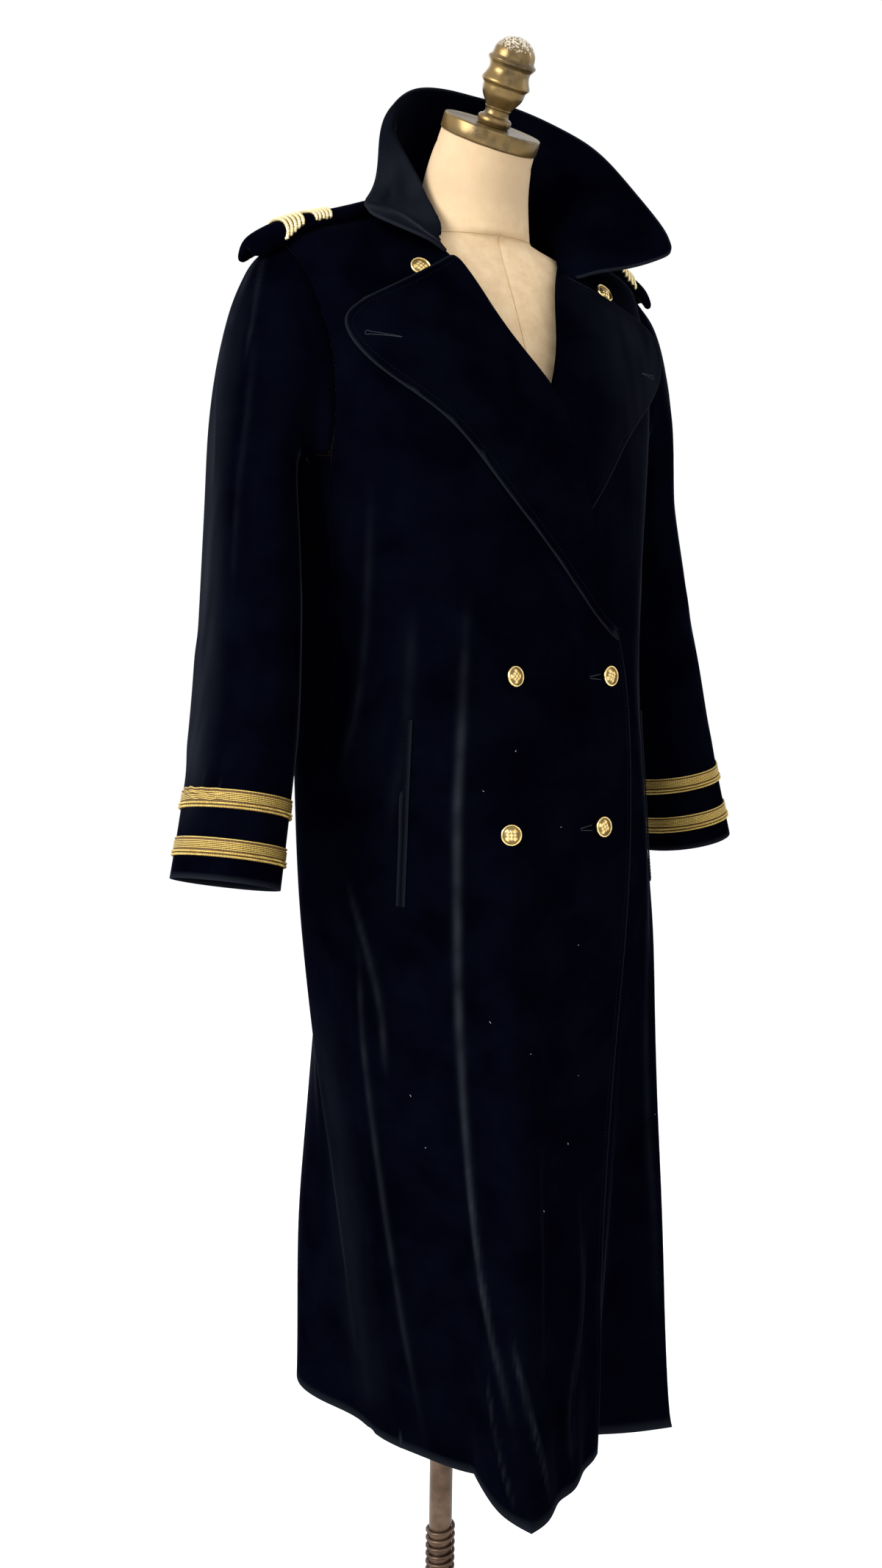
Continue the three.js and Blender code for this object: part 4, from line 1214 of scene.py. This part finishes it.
# %% Close the seams
ROLL_RADIUS = 2.4            # mm
rolls = {
    "armhole_right": armhole_lines["right"],
    "armhole_left": armhole_lines["left"],
    "side_right": side_seams["velvet_front_right"],
    "side_left": side_seams["velvet_front_left"],
    "neck": neck_line,
}
for name, line in rolls.items():
    is_ring = name.startswith("armhole")
    roll = cords(name + "_roll", [(even(line, 6 * MM), ROLL_RADIUS)], is_ring, velvet)
    sew_on(roll)
print(len(rolls), "seam rolls")

# %% [markdown]
# A cuff's braid goes all round it, and its cords are fine. A board's bar has an end at each side,
# and its cords are fewer and thicker. A table gives each cord's place, as a share of the braid's
# width from its lower edge, and its radius in mm.

# %% Cords of a braid
CUFF_CORDS = [(0.955, 0.75), (0.79, 0.72), (0.70, 0.72), (0.61, 0.72), (0.52, 0.72), (0.43, 0.72)]
CUFF_PAIRS = [(0.255, 0.68), (0.085, 0.68)]
BOARD_CORDS = [(0.1, 1.9), (0.3, 1.9), (0.5, 1.9), (0.7, 1.9), (0.9, 1.9)]
LAY = 3.0 * MM               # one turn of a twisted pair
BOARD_PALE = 0.6             # the boards catch more light, so their gold is painted paler as a highlight


def braid_cords(name, edges, closed, tree, gap):
    runs = []
    for share, r in CUFF_CORDS if closed else BOARD_CORDS:
        lift = (r + 0.5 if closed else r - 0.7) * MM
        runs.append((laid(edges, share, closed, tree, lift, gap)[0], r))
    for share, r in CUFF_PAIRS if closed else []:
        spots, normals = laid(edges, share, closed, tree, (0.4 + 2 * r) * MM, LAY / 6)
        runs.append((twisted(spots, normals, r * MM, LAY, 0), r))
        runs.append((twisted(spots, normals, r * MM, LAY, math.pi), r))
    piece = cords(name, runs, closed, braid_gold)
    away = points(piece) - (edges[0].mean(0) + edges[1].mean(0)) / 2
    turn = np.arctan2(away[:, 1], away[:, 0] if closed else away[:, 2])
    reach = np.linalg.norm(edges[0] - edges[0].mean(0), axis=1).mean()
    mark(piece, "along", turn * reach / MM)
    mark(piece, "pale", np.full(len(away), 0.0 if closed else BOARD_PALE))
    return piece


# %% Backing under the cords
def braid_backing(name, edges, closed, tree, gap):
    shares = (0.02, 0.35, 0.65, 0.98)
    rows = [laid(edges, share, closed, tree, 0.35 * MM, gap)[0] for share in shares]
    length = min(len(row) for row in rows)
    corners = [tuple(p) for row in rows for p in row[:length]]
    faces = []
    for low in range(0, 3 * length, length):
        high = low + length
        for i in range(length if closed else length - 1):
            after = (i + 1) % length
            faces.append((low + i, low + after, high + after, high + i))
    ground = mesh_of(name + "_ground", corners, [], faces)
    ground.data.materials.append(braid_ground)
    apply(ground, "SOLIDIFY", thickness=0.7 * MM, offset=0)
    edit(ground)
    bpy.ops.mesh.normals_make_consistent(inside=False)
    done()
    return ground


# %% Lay the braids
BRAID_DEEP = 1.2 * MM


def braid(node, carrier, inside, closed, across=None):
    """Braid on a piece of cloth, along the strip that a CAD node has there."""
    tree = surface(carrier)
    edges = strip_edges(node, inside, BRAID_DEEP, across)
    gap = 4 * MM if closed else 2 * MM
    piece = braid_cords("gold_" + node, edges, closed, tree, gap)
    ground = braid_backing(piece.name, edges, closed, tree, gap)
    sew_on(piece, node)
    sew_on(ground)


for side, sign in (("right", -1), ("left", 1)):
    low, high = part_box("epaulette_" + side)
    board_middle = (Vector(low) + Vector(high)) / 2
    for level in (1, 2):
        braid(f"cuff_braid_{side}_{level}", sleeves[side], sleeve_middle(side)(1080), closed=True)
        node = f"epaulette_braid_{side}_{level}"
        braid(node, boards[side], board_middle, closed=False, across=(sign, 0, 0))

# %% [markdown]
# ## Buttons
#
# Blazer buttons are stamped from brass in two halves and gilt: a rounded rim, a hollow inside
# it that stays dark, and a domed middle with a raised motif. Here the motif is a plain
# rosette of leaves. The outline is turned on a lathe, which is what the Spin operator does, and
# the rosette is raised out of the dome by moving its points.

# %% Gilt material
HANDLED = 600                # worn spots to a metre, 1.7 mm each
gilt = new_material("worn gilt brass", Metallic=1.0, Roughness=0.3)
hollow = add_node(gilt, "Attribute", attribute_name="hollow")
gilt_where = add_node(gilt, "TexCoord")
handled = add_node(
    gilt, "TexNoise", {"Scale": HANDLED, "Detail": 3.0}, {"Vector": (gilt_where, "Object")}
)
bright_gilt = ramp(gilt, handled, "Fac", [(0.3, "#e2b866"), (0.5, "#f3d48c"), (0.75, "#fbeabc")])
# In the hollow the gilt is mixed to dark brown and made rougher.
gilt_darker_in_hollow = add_node(
    gilt,
    "MixRGB",
    {"Color2": rgb("#241703")},
    {"Fac": (hollow, "Fac"), "Color1": (bright_gilt, "Color")},
)
join(gilt, gilt_darker_in_hollow, "Color", "Base Color")
gilt_rough = add_node(
    gilt, "MapRange", {"To Min": 0.24, "To Max": 0.6}, {"Value": (hollow, "Fac")}
)
join(gilt, gilt_rough, "Result", "Roughness")


# %% A lathe
def lathe(name, outline, steps, finish):
    """Turns an outline of (radius, height) in mm round the upright axis."""
    corners = [(r * MM, 0, h * MM) for r, h in outline]
    piece = mesh_of(name, corners, [(i, i + 1) for i in range(len(corners) - 1)], [])
    edit(piece)
    bpy.ops.mesh.spin(steps=steps, angle=2 * math.pi, center=(0, 0, 0), axis=(0, 0, 1))
    bpy.ops.mesh.select_all(action="SELECT")
    bpy.ops.mesh.remove_doubles(threshold=WELD)
    bpy.ops.mesh.normals_make_consistent(inside=False)
    done()
    piece.data.materials.append(finish)
    shade(piece, crisp=40)
    return piece


# %% Turn one button
BUTTON_RADIUS = 11
DOME_RADIUS = 8.8
DOME = [(r, 2.3 + 2.3 * (1 - (r / DOME_RADIUS) ** 2)) for r in np.linspace(8.6, 0, 22)]
BUTTON_OUTLINE = [           # shank, back, rim, the recess inside it and the dome
    (0, -3.1), (1.3, -3.1), (1.3, -0.2),
    (9.4, 0.1), (10.5, 0.7), (BUTTON_RADIUS, 1.7), (BUTTON_RADIUS, 2.9),
    (10.7, 3.6), (10.2, 3.9), (9.7, 3.8), (9.3, 3.3),
    (9.1, 2.6), (8.9, 2.3), *DOME,
]
rosette = lathe("rosette_button", BUTTON_OUTLINE, steps=96, finish=gilt)

# %% Raise the rosette
LEAVES = 4                   # in each of two rings
LEAF_HIGH = 0.75             # mm over the ground, which sinks by GROUND_LOW
GROUND_LOW = 0.35
table = points(rosette) / MM
radius = np.hypot(table[:, 0], table[:, 1])
turn = np.arctan2(table[:, 1], table[:, 0])


def leaf_ring(offset, middle, half_long):
    """How far each point is raised by a ring of leaves at a radius; sizes in mm."""
    width = np.clip(np.cos(LEAVES * turn + offset), 0, 1) ** 0.7
    return width * np.clip(1 - ((radius - middle) / half_long) ** 2, 0, 1)


from_vein = np.mod(turn + math.pi / 8, math.pi / 4) - math.pi / 8
vein = 0.35 * bell(from_vein, 0.05)
outer_ring = leaf_ring(0, 5.4, 2.9) * (1 - vein)
inner_ring = leaf_ring(math.pi, 3.6, 2.0)
boss = np.clip(1 - (radius / 1.7) ** 2, 0, 1) ** 0.5
raised = np.maximum.reduce([outer_ring, inner_ring, boss])
domed = smoothly(DOME_RADIUS, 8.2, radius) * (table[:, 2] > 2)
table[:, 2] += domed * (LEAF_HIGH * raised - GROUND_LOW)
move_points(rosette, table * MM)
in_recess = smoothly(9.6, 9.15, radius) * (table[:, 2] > 1.5)
mark(rosette, "hollow", np.clip(in_recess * (1 - 1.5 * raised * domed), 0, 1) * 0.75)
print("one button has", len(rosette.data.polygons), "faces")

# %% Sew the buttons on
COAT_AXIS_Y = 0.3            # a point far behind the front, so that every button faces away from it
SHANK_LONG = 4.9 * MM        # from a solid's top down to the button's back
buttons = {}
for name in ("button_1", "button_2", "button_3", "button_4", "lapel_button_right", "lapel_button_left"):
    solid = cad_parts[name]
    table = points(solid)
    middle = table.mean(0)
    axis = Vector(np.linalg.svd(table - middle)[2][2])
    if axis.dot(Vector(middle) - Vector((0, COAT_AXIS_Y, middle[2]))) < 0:
        axis = -axis
    top = max((table - middle) @ np.array(axis))
    foot = Vector(middle) + axis * (top - SHANK_LONG)
    if name.startswith("lapel"):                         # these sit a little higher
        foot += Vector((0, 0, 1)).cross(axis).cross(axis) * -1.5 * MM
    button = new_piece("gilt_" + name, rosette.data.copy())
    a_little_further = turned("Z", 23 * len(buttons))    # no two rosettes stand alike
    upright = axis.to_track_quat("Z", "Y").to_matrix().to_4x4()
    button.data.transform(Matrix.Translation(foot) @ upright @ a_little_further)
    sew_on(button, name)
    buttons[name] = (foot, axis)
bpy.data.objects.remove(rosette)
print(len(buttons), "buttons of", 2 * BUTTON_RADIUS, "mm")

# %% [markdown]
# ## Buttonholes
#
# The right front buttons over the left. A buttonhole is a slit sewn round with grey twist, and
# the pull of the button opens it into a narrow V, whose two edges show beside the button. Each
# edge is a row of very close stitches. The lapels have keyhole ones, sewn shut.

# %% Sew the buttonholes of the front
MOUTH = 9 * MM               # from the button's middle to the open end, under its rim
TAIL = 25 * MM               # and to the closed end
front_tree = surface(front_right)
for name in ("button_2", "button_4"):
    foot, axis = buttons[name]
    to_side = Vector((-0.87, -0.5, 0))
    to_side = (to_side - to_side.project(axis)).normalized()
    across = axis.cross(to_side).normalized()
    for edge, spread in (("upper", 3.2 * MM), ("lower", -2.6 * MM)):
        start = foot + to_side * MOUTH + across * spread
        end = foot + to_side * TAIL + across * 0.3 * spread
        stops = [start.lerp(end, share) for share in np.linspace(0, 1, 14)]
        line = [just_above(front_tree, p, 0.3 * MM) for p in stops]
        row_name = f"buttonhole_{name}_{edge}"
        row_of_stitches(row_name, line, long=1.3, gap=0.9, thick=0.9, finish=twist)


# %% Sew the keyholes of the lapels
EYE = 2.3 * MM               # radius of the round end


def keyhole(side, ends):
    """A keyhole buttonhole between (turn, height) places of its eye and its tail on a lapel."""
    tree = surface(lapels[side])
    outer = []
    for turn, height in ends:
        p = on_cloth(tree, turn, height)
        away = Vector((p.x, p.y + 0.05, 0)).normalized()
        outer.append(tree.ray_cast(p + away * 0.1, -away)[0])
    eye, tail = outer
    along = (tail - eye).normalized()
    up = along.cross(Vector((0, 1, 0))).normalized()
    line = [tail + up * 0.15 * MM]
    for turn in range(40, 321, 20):
        reach = Matrix.Rotation(math.radians(turn), 3, along.cross(up)) @ along
        line.append(eye + reach * EYE)
    line.append(tail - up * 0.15 * MM)
    sewn = [just_above(tree, p, 0.25 * MM) for p in even(line, 0.8 * MM)]
    name = "keyhole_" + side
    row_of_stitches(name, sewn, long=1.0, gap=0.8, thick=0.7, finish=twist)


keyhole("right", [(-56.3, 1586), (-47.8, 1582)])
keyhole("left", [(52, 1570), (45, 1571)])

# %% [markdown]
# ## Pockets
#
# Each front has a slanting pocket with a narrow welt, a folded strip of velvet that closes its
# mouth. It is stitched down along both long edges.

# %% Pocket welts
WELT_WIDE = 10.5 * MM
WELT_DEEP = 1.3 * MM
WELT_STEPS = 60              # points along a welt
WELT_ROWS = [                # share of the width, mm over the cloth and painted sheen share of each row, a highlight on its edges
    (-0.5, 0.3, 0.35), (-0.42, 0.6, 0.35), (0, 0.6, 0), (0.42, 0.6, 0.35), (0.5, 0.3, 0.35),
]
WELT_FACES = [
    (low + i, low + i + 1, low + WELT_STEPS + i + 1, low + WELT_STEPS + i)
    for low in range(0, 4 * WELT_STEPS, WELT_STEPS)
    for i in range(WELT_STEPS - 1)
]


def strip_of_velvet(name, corners, outer):
    """A folded strip from rows of corners on its outer side, which faces outer."""
    strip = mesh_of(name, corners, [], WELT_FACES)
    mark(strip, "painted_sheen", [painted_sheen_mix for _, _, painted_sheen_mix in WELT_ROWS for _ in range(WELT_STEPS)])
    edit(strip)
    bpy.ops.mesh.normals_make_consistent(inside=False)
    done()
    if strip.data.polygons[0].normal.dot(outer) < 0:
        edit(strip)
        bpy.ops.mesh.flip_normals()
        done()
    apply(strip, "SOLIDIFY", thickness=WELT_DEEP, offset=-1)
    fold = math.radians(50)
    apply(strip, "BEVEL", width=0.4 * MM, segments=2, limit_method="ANGLE", angle_limit=fold)
    strip.data.materials.append(velvet)
    shade(strip, crisp=40)
    return strip


for side, front in (("right", front_right), ("left", front_left)):
    tree = surface(front)
    solid = points(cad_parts["pocket_welt_" + side])
    middle = solid.mean(0)
    along, across = np.linalg.svd(solid - middle)[2][:2]
    half = np.abs((solid - middle) @ along).max() - 2 * MM
    stops = np.linspace(-half, half, WELT_STEPS)
    corners = []
    for share, rise, _ in WELT_ROWS:
        for reach in stops:
            p = Vector(middle + along * reach + across * share * WELT_WIDE)
            corners.append(tuple(just_above(tree, p, rise * MM + WELT_DEEP)))
    outer = Vector(tree.find_nearest(Vector(middle))[1])
    welt = strip_of_velvet("velvet_welt_" + side, corners, outer)
    sew_on(welt, "pocket_welt_" + side)
    on_welt = surface(welt)
    for edge, beside in (("front", 0.33), ("back", -0.33)):
        line = []
        for reach in stops * 0.97:
            p = Vector(middle + along * reach + across * beside * WELT_WIDE) + outer * 6 * MM
            line.append(just_above(on_welt, p, 0.1 * MM))
        row_of_stitches(f"topstitch_welt_{side}_{edge}", line)

# %% [markdown]
# Velvet catches lint. A few short pale fibres lie on the coat, and they tell the eye how large
# everything else is.

# %% Lint
lint_white = spun("pale lint", "#c9ccd2", 3000.0, Roughness=0.9)
FIBRES = 14                  # on the fronts, three on the right one to one on the left
chance = np.random.default_rng(7)
skins = {-1: surface(front_right), 1: surface(front_left)}
fibres = []
for number in range(FIBRES):
    side = 1 if number % 4 == 3 else -1
    turn = chance.uniform(12, 55) if side == 1 else chance.uniform(-62, 12)
    height = chance.uniform(430, 1250)
    start = on_cloth(skins[side], turn, height)
    outer = skins[side].find_nearest(start)[1]
    if outer.dot(start - axis_at(height)) < 0:           # that is the inner side of the cloth
        start = skins[side].find_nearest(start - outer * 2.6 * MM)[0]
        outer = -outer
    lies = outer.cross(Vector((chance.uniform(-1, 1), 0, chance.uniform(-1, 1)))).normalized()
    bow = outer.cross(lies) * chance.uniform(-0.4, 0.4)
    long = chance.uniform(0.9, 2.6)
    line = []
    for t in np.linspace(-0.5, 0.5, 5):
        line.append(start + outer * 0.4 * MM + (lies * t + bow * t * t) * long * MM)
    fibres.append((line, chance.uniform(0.1, 0.17)))
sew_on(cords("lint", fibres, False, lint_white))
print(len(fibres), "fibres of lint")

# %% [markdown]
# ## The dress form
#
# The form is papier mache under a tight linen cover, cut in panels like a garment: a seam
# down the middle of the front, one down the back and one round the base of the neck. Linen
# shows its plain weave, with a thicker thread here and there.

# %% Linen material
linen = new_material("cream linen cover", Roughness=0.85, Sheen_Weight=0.08, Sheen_Roughness=0.5)
linen_where = add_node(linen, "TexCoord")
LINEN_WAVE = 144.69          # has a thread each 2 pi / 20 / 144.69 m = 2.2 mm, coarse so that it shows
warp, weft = [
    add_node(
        linen,
        "TexWave",
        {"Scale": LINEN_WAVE, "Distortion": 1.5, "Detail": 2.0, "Detail Scale": 0.4},
        {"Vector": (linen_where, "Object")},
        bands_direction=direction,
    )
    for direction in "XZ"
]
weave = add_node(
    linen,
    "MixRGB",
    {"Fac": 1.0},
    {"Color1": (warp, "Color"), "Color2": (weft, "Color")},
    blend_type="MULTIPLY",
)
SLUBS = 60                   # thick threads to a metre, every 17 mm
slubs = add_node(
    linen,
    "TexNoise",
    {"Scale": SLUBS, "Detail": 4.0, "Roughness": 0.6},
    {"Vector": (linen_where, "Object")},
)
linen_colour = ramp(linen, slubs, "Fac", [(0.3, "#c8ab85"), (0.55, "#d3b891"), (0.8, "#dcc4a0")])

# %% Threads, painted shade and relief of the linen
thread_shade = add_node(
    linen,
    "MixRGB",
    {"Fac": 0.05},
    {"Color1": (linen_colour, "Color"), "Color2": (weave, "Color")},
    blend_type="MULTIPLY",
)
# The neck is painted a darker brown as shade, to even out the stronger lamp light on it.
aged = add_node(linen, "Attribute", attribute_name="aged")
linen_with_painted_shade = add_node(
    linen,
    "MixRGB",
    {"Color2": rgb("#aa9171")},
    {"Fac": (aged, "Fac"), "Color1": (thread_shade, "Color")},
)
join(linen, linen_with_painted_shade, "Color", "Base Color")
weave_bump = add_node(
    linen, "Bump", {"Strength": 0.12, "Distance": 0.3 * MM}, {"Height": (weave, "Color")}
)
join(linen, weave_bump, "Normal", "Normal")
seam_thread = spun("linen seam thread", "#b39468", 1500.0, Roughness=0.85)

# %% How the neck leans
# The neck leans forward, and at its top a little to one side, which only its cap really shows.
CAP_FOOT = Vector((0, -50.2, 1812.4)) * MM
CAP_TILT = 24
SIDE_TURN = -32.5            # degrees: seen from this turn it leans to the right
SIDE_LEAN = 4.3
SIDE_STEP = Vector((2.2, -1.2, 3.4)) * MM
upright_neck = Matrix.Translation(CAP_FOOT) @ turned("X", CAP_TILT)
sideways = turned("Z", SIDE_TURN) @ turned("Y", SIDE_LEAN) @ turned("Z", -SIDE_TURN)
lean = Matrix.Translation(CAP_FOOT + SIDE_STEP) @ sideways @ turned("X", CAP_TILT)

# %% Body of the form
NECK_RADIUS = 52.8 * MM      # just under its cap
NECK_FLARE = 0.05            # how much wider it gets on the way down
form = copy_of("form_body", "linen_form")
to_quads(form)
apply(form, "SUBSURF", levels=3, render_levels=3)
table = points(form)
to_neck = upright_neck.inverted()
for number, p in enumerate(table):
    if p[2] < 1.70:
        continue
    on_neck = to_neck @ Vector(p)
    reach = math.hypot(on_neck.x, on_neck.y)
    if on_neck.z > -14 * MM and reach > 30 * MM:         # the skin, and not the flat top
        full = NECK_RADIUS - min(on_neck.z, 0) * NECK_FLARE
        on_neck.x *= max(full / reach, 1)
        on_neck.y *= max(full / reach, 1)
    share = float(smoothly(-75 * MM, -5 * MM, on_neck.z))
    table[number] = (upright_neck @ on_neck).lerp(lean @ on_neck, share)
move_points(form, table)


# %% Seams of the form
def level_way(turn):
    """The level direction at a turn in degrees, 0 at the front."""
    return Vector((math.sin(math.radians(turn)), -math.cos(math.radians(turn)), 0))


def round_form(height, centre, tilt=0.0):
    """A line round the form: points on its skin at a height that may tilt with depth (mm)."""
    tree = surface(form)
    line = []
    for turn in range(-180, 181, 6):
        away = level_way(turn)
        start = Vector((0, centre, height)) * MM
        reach = Vector((away.x, away.y, away.y * math.tan(math.radians(tilt))))
        line.append(tree.ray_cast(start, reach.normalized(), 1)[0])
    return line


def down_form(turn, top, bottom):
    """A line down the form at one turn, between two heights in mm."""
    tree = surface(form)
    line = []
    for height in np.linspace(top, bottom, 40):
        middle = np.interp(height, [950, 1700, 1812], [-30, -21, -50])
        line.append(tree.ray_cast(Vector((0, middle, height)) * MM, level_way(turn), 1)[0])
    return line


form_seams = {
    "neck": round_form(1716, -21, tilt=5),
    "front": down_form(0, 1712, 1300),
    "back": down_form(180, 1785, 1300),
}
for line in form_seams.values():
    press_groove(form, line, deep=0.7, wide=4)
neck_share = smoothly(1.69, 1.76, points(form)[:, 2])
mark(form, "aged", 0.75 * neck_share)                    # the neck is painted darker, as shade against the stronger lamp light on it
form.data.materials.append(linen)
shade(form)
sew_on(form, "form_body")
form_tree = surface(form)
for name, line in form_seams.items():
    on_skin = [just_above(form_tree, p, 0.1 * MM) for p in even(line, 4 * MM)]
    sew_on(cords("form_seam_" + name, [(on_skin, 0.45)], False, seam_thread))
print("form with", len(form_seams), "seams")

# %% [markdown]
# ## Neck cap and finial
#
# A turned cap closes the neck, and a turned finial with two bulges stands on it, both leaning
# forward with the neck. They are cast and bronzed. The colour has worn through to pale metal
# on the high places, which noise in the material decides.

# %% Bronze materials
CLOUDS = 28                  # to a metre, 36 mm across
FLAKES = 420                 # 2.4 mm
PITS = 500                   # 2 mm


def bronze_finish(name, dark, mid, warm, rough=(0.25, 0.5)):
    """Lacquered bronze whose colour clouds from dark over olive to warm."""
    material = new_material(name, Metallic=0.7, Roughness=0.4)
    at = add_node(material, "TexCoord")
    clouds = add_node(
        material,
        "TexNoise",
        {"Scale": CLOUDS, "Detail": 5.0, "Roughness": 0.6},
        {"Vector": (at, "Object")},
    )
    colour = ramp(material, clouds, "Fac", [(0.32, dark), (0.48, mid), (0.68, warm)])
    share = chips(material, at)
    chipped_colour = add_node(
        material,
        "MixRGB",
        {"Color2": rgb("#e9e0cc")},
        {"Fac": (share, "Result"), "Color1": (colour, "Color")},
    )
    join(material, chipped_colour, "Color", "Base Color")
    brushed = add_node(
        material, "MapRange", {"To Min": rough[0], "To Max": rough[1]}, {"Value": (clouds, "Fac")}
    )
    join(material, brushed, "Result", "Roughness")
    pits = add_node(
        material, "TexNoise", {"Scale": PITS, "Detail": 3.0}, {"Vector": (at, "Object")}
    )
    bump = add_node(
        material, "Bump", {"Strength": 0.2, "Distance": 0.3 * MM}, {"Height": (pits, "Fac")}
    )
    join(material, bump, "Normal", "Normal")
    return material


def chips(material, at):
    """Where the lacquer has come off: noise over a level, times the chipped mark."""
    chipped = add_node(material, "Attribute", attribute_name="chipped")
    flakes = add_node(
        material, "TexNoise", {"Scale": FLAKES, "Detail": 3.0}, {"Vector": (at, "Object")}
    )
    flaked = add_node(material, "Math", {1: 0.42}, {0: (flakes, "Fac")}, operation="SUBTRACT")
    showing = add_node(
        material,
        "Math",
        {2: -0.02},
        {0: (flaked, 0), 1: (chipped, "Fac")},
        operation="MULTIPLY_ADD",
    )
    return add_node(material, "MapRange", {"From Max": 0.1}, {"Value": (showing, 0)})


aged_bronze = bronze_finish("aged bronze with chips", "#3f3422", "#6d5a38", "#7d6336", rough=(0.18, 0.42))
brushed_bronze = bronze_finish("brushed brown bronze", "#3a2c20", "#4f3d30", "#6a5544")
bronzed_iron = bronze_finish("bronzed cast iron", "#3a3024", "#5a4c3a", "#7b6c56", rough=(0.4, 0.65))

# %% Turn them
# Each outline is a row of (radius, height) points in mm.
CAP_HIGH = 17
CAP_OUTLINE = [
    (0, 0), (53.2, 0), (54, 0.5), (54.5, 1.5), (54.5, 8), (54.5, 14.9), (54.2, 16.1), (53.4, 16.8),
    (52.3, CAP_HIGH), (51.2, 16.7), (50.2, 16.4), (36, 16.5), (18, 16.6), (0, 16.6),
]
FINIAL_OUTLINE = [
    (0, 0), (16.8, 0), (17.4, 0.8), (17.6, 1.8), (18.4, 2.6), (18.9, 4.2), (18.9, 6.2), (18.2, 8.2),
    (16.6, 9.6), (14.6, 10.2), (14, 10.8), (13.6, 12), (13.4, 14), (13.5, 16), (13.9, 17.6),
    (14.4, 18.2), (14.2, 18.8), (14.6, 19.6), (16.2, 22), (18.6, 25), (21, 28.6), (22.6, 32),
    (23.4, 35.4), (23.6, 38.4), (23.9, 40.4), (25.2, 41.6), (26.5, 43), (26.9, 44.4), (26.2, 46.2),
    (24.4, 49.4), (23, 53), (22.4, 56), (22.6, 58.6), (23.6, 61), (25.4, 63.2), (26.5, 65),
    (26.5, 66.4), (25.4, 67.6), (23.8, 68.6), (23.2, 70), (23, 73), (22.2, 77), (20.2, 81),
    (17.2, 84.6), (13, 87.8), (8, 90), (3, 90.9), (0, 91),
]
cap = lathe("bronze_neck_cap", CAP_OUTLINE, steps=96, finish=aged_bronze)
cap.data.transform(lean)
finial = lathe("bronze_finial", FINIAL_OUTLINE, steps=72, finish=aged_bronze)
above = points(finial)[:, 2] / MM
mark(finial, "chipped", smoothly(72, 92, above))
finial.data.transform(lean @ Matrix.Translation((0, 0, CAP_HIGH * MM)))
sew_on(cap, "neck_cap")
sew_on(finial, "finial")
print("cap and finial stand", round(max(points(finial)[:, 2]), 3), "m high")

# %% [markdown]
# ## The stand
#
# The form slides on a bronzed pole. A spring round its foot softens the drop when the height
# is let down, and a heavy round base keeps everything upright.

# %% Pole, hub and base
POLE = 14.25                 # mm, its radius
BORE = 14.65                 # and that of the hub's bore
POLE_OUTLINE = [
    (0, 30.4), (12.9, 30.4), (POLE, 31.6), (POLE, 300), (POLE, 620), (POLE, 925), (14, 925.6),
    (14, 927.4), (POLE, 928), (POLE, 943.6), (13.3, 944.6), (0, 944.6),
]
HUB_OUTLINE = [
    (BORE, 30.4), (25.2, 30.4), (26, 31.4), (26, 40), (25, 42), (25, 44), (26, 46), (26, 78),
    (25.4, 81), (23.6, 83.2), (21, 84), (16, 84), (BORE, 83.4), (BORE, 30.4),
]
BASE_OUTLINE = [
    (0, 0), (147, 0), (149, 0.8), (150, 2.6), (150, 9), (149.4, 11.4), (147.6, 13.2), (145, 14.2),
    (139, 15.2), (132, 15.6), (126, 16.6), (112, 19.4), (92, 22.6), (70, 25.4), (50, 27.8),
    (40, 29), (34, 30), (0, 30),
]
stand = {
    "pole": lathe("bronze_pole", POLE_OUTLINE, steps=48, finish=brushed_bronze),
    "base_hub": lathe("bronze_hub", HUB_OUTLINE, steps=64, finish=brushed_bronze),
    "stand_base": lathe("iron_base", BASE_OUTLINE, steps=96, finish=bronzed_iron),
}

# %% Spring
SPRING_OUTER = 18.4          # mm, its outer radius
SPRING_WIRE = 4
SPRING_TURNS = 9
SPRING_FOOT = 87.6           # heights of its two ends
SPRING_TOP = 181.6
STEPS = 40                   # to a turn
coil = []
for share in np.linspace(0, 1, SPRING_TURNS * STEPS + 1):
    turn = 2 * math.pi * SPRING_TURNS * share
    climb = SPRING_FOOT + (SPRING_TOP - SPRING_FOOT) * share
    reach = SPRING_OUTER - SPRING_WIRE / 2
    coil.append(Vector((reach * math.cos(turn), reach * math.sin(turn), climb)) * MM)
stand["pole_spring"] = cords("bronze_spring", [(coil, SPRING_WIRE / 2)], False, brushed_bronze)
for node, piece in stand.items():
    sew_on(piece, node)
print("stand:", ", ".join(piece.name for piece in stand.values()))
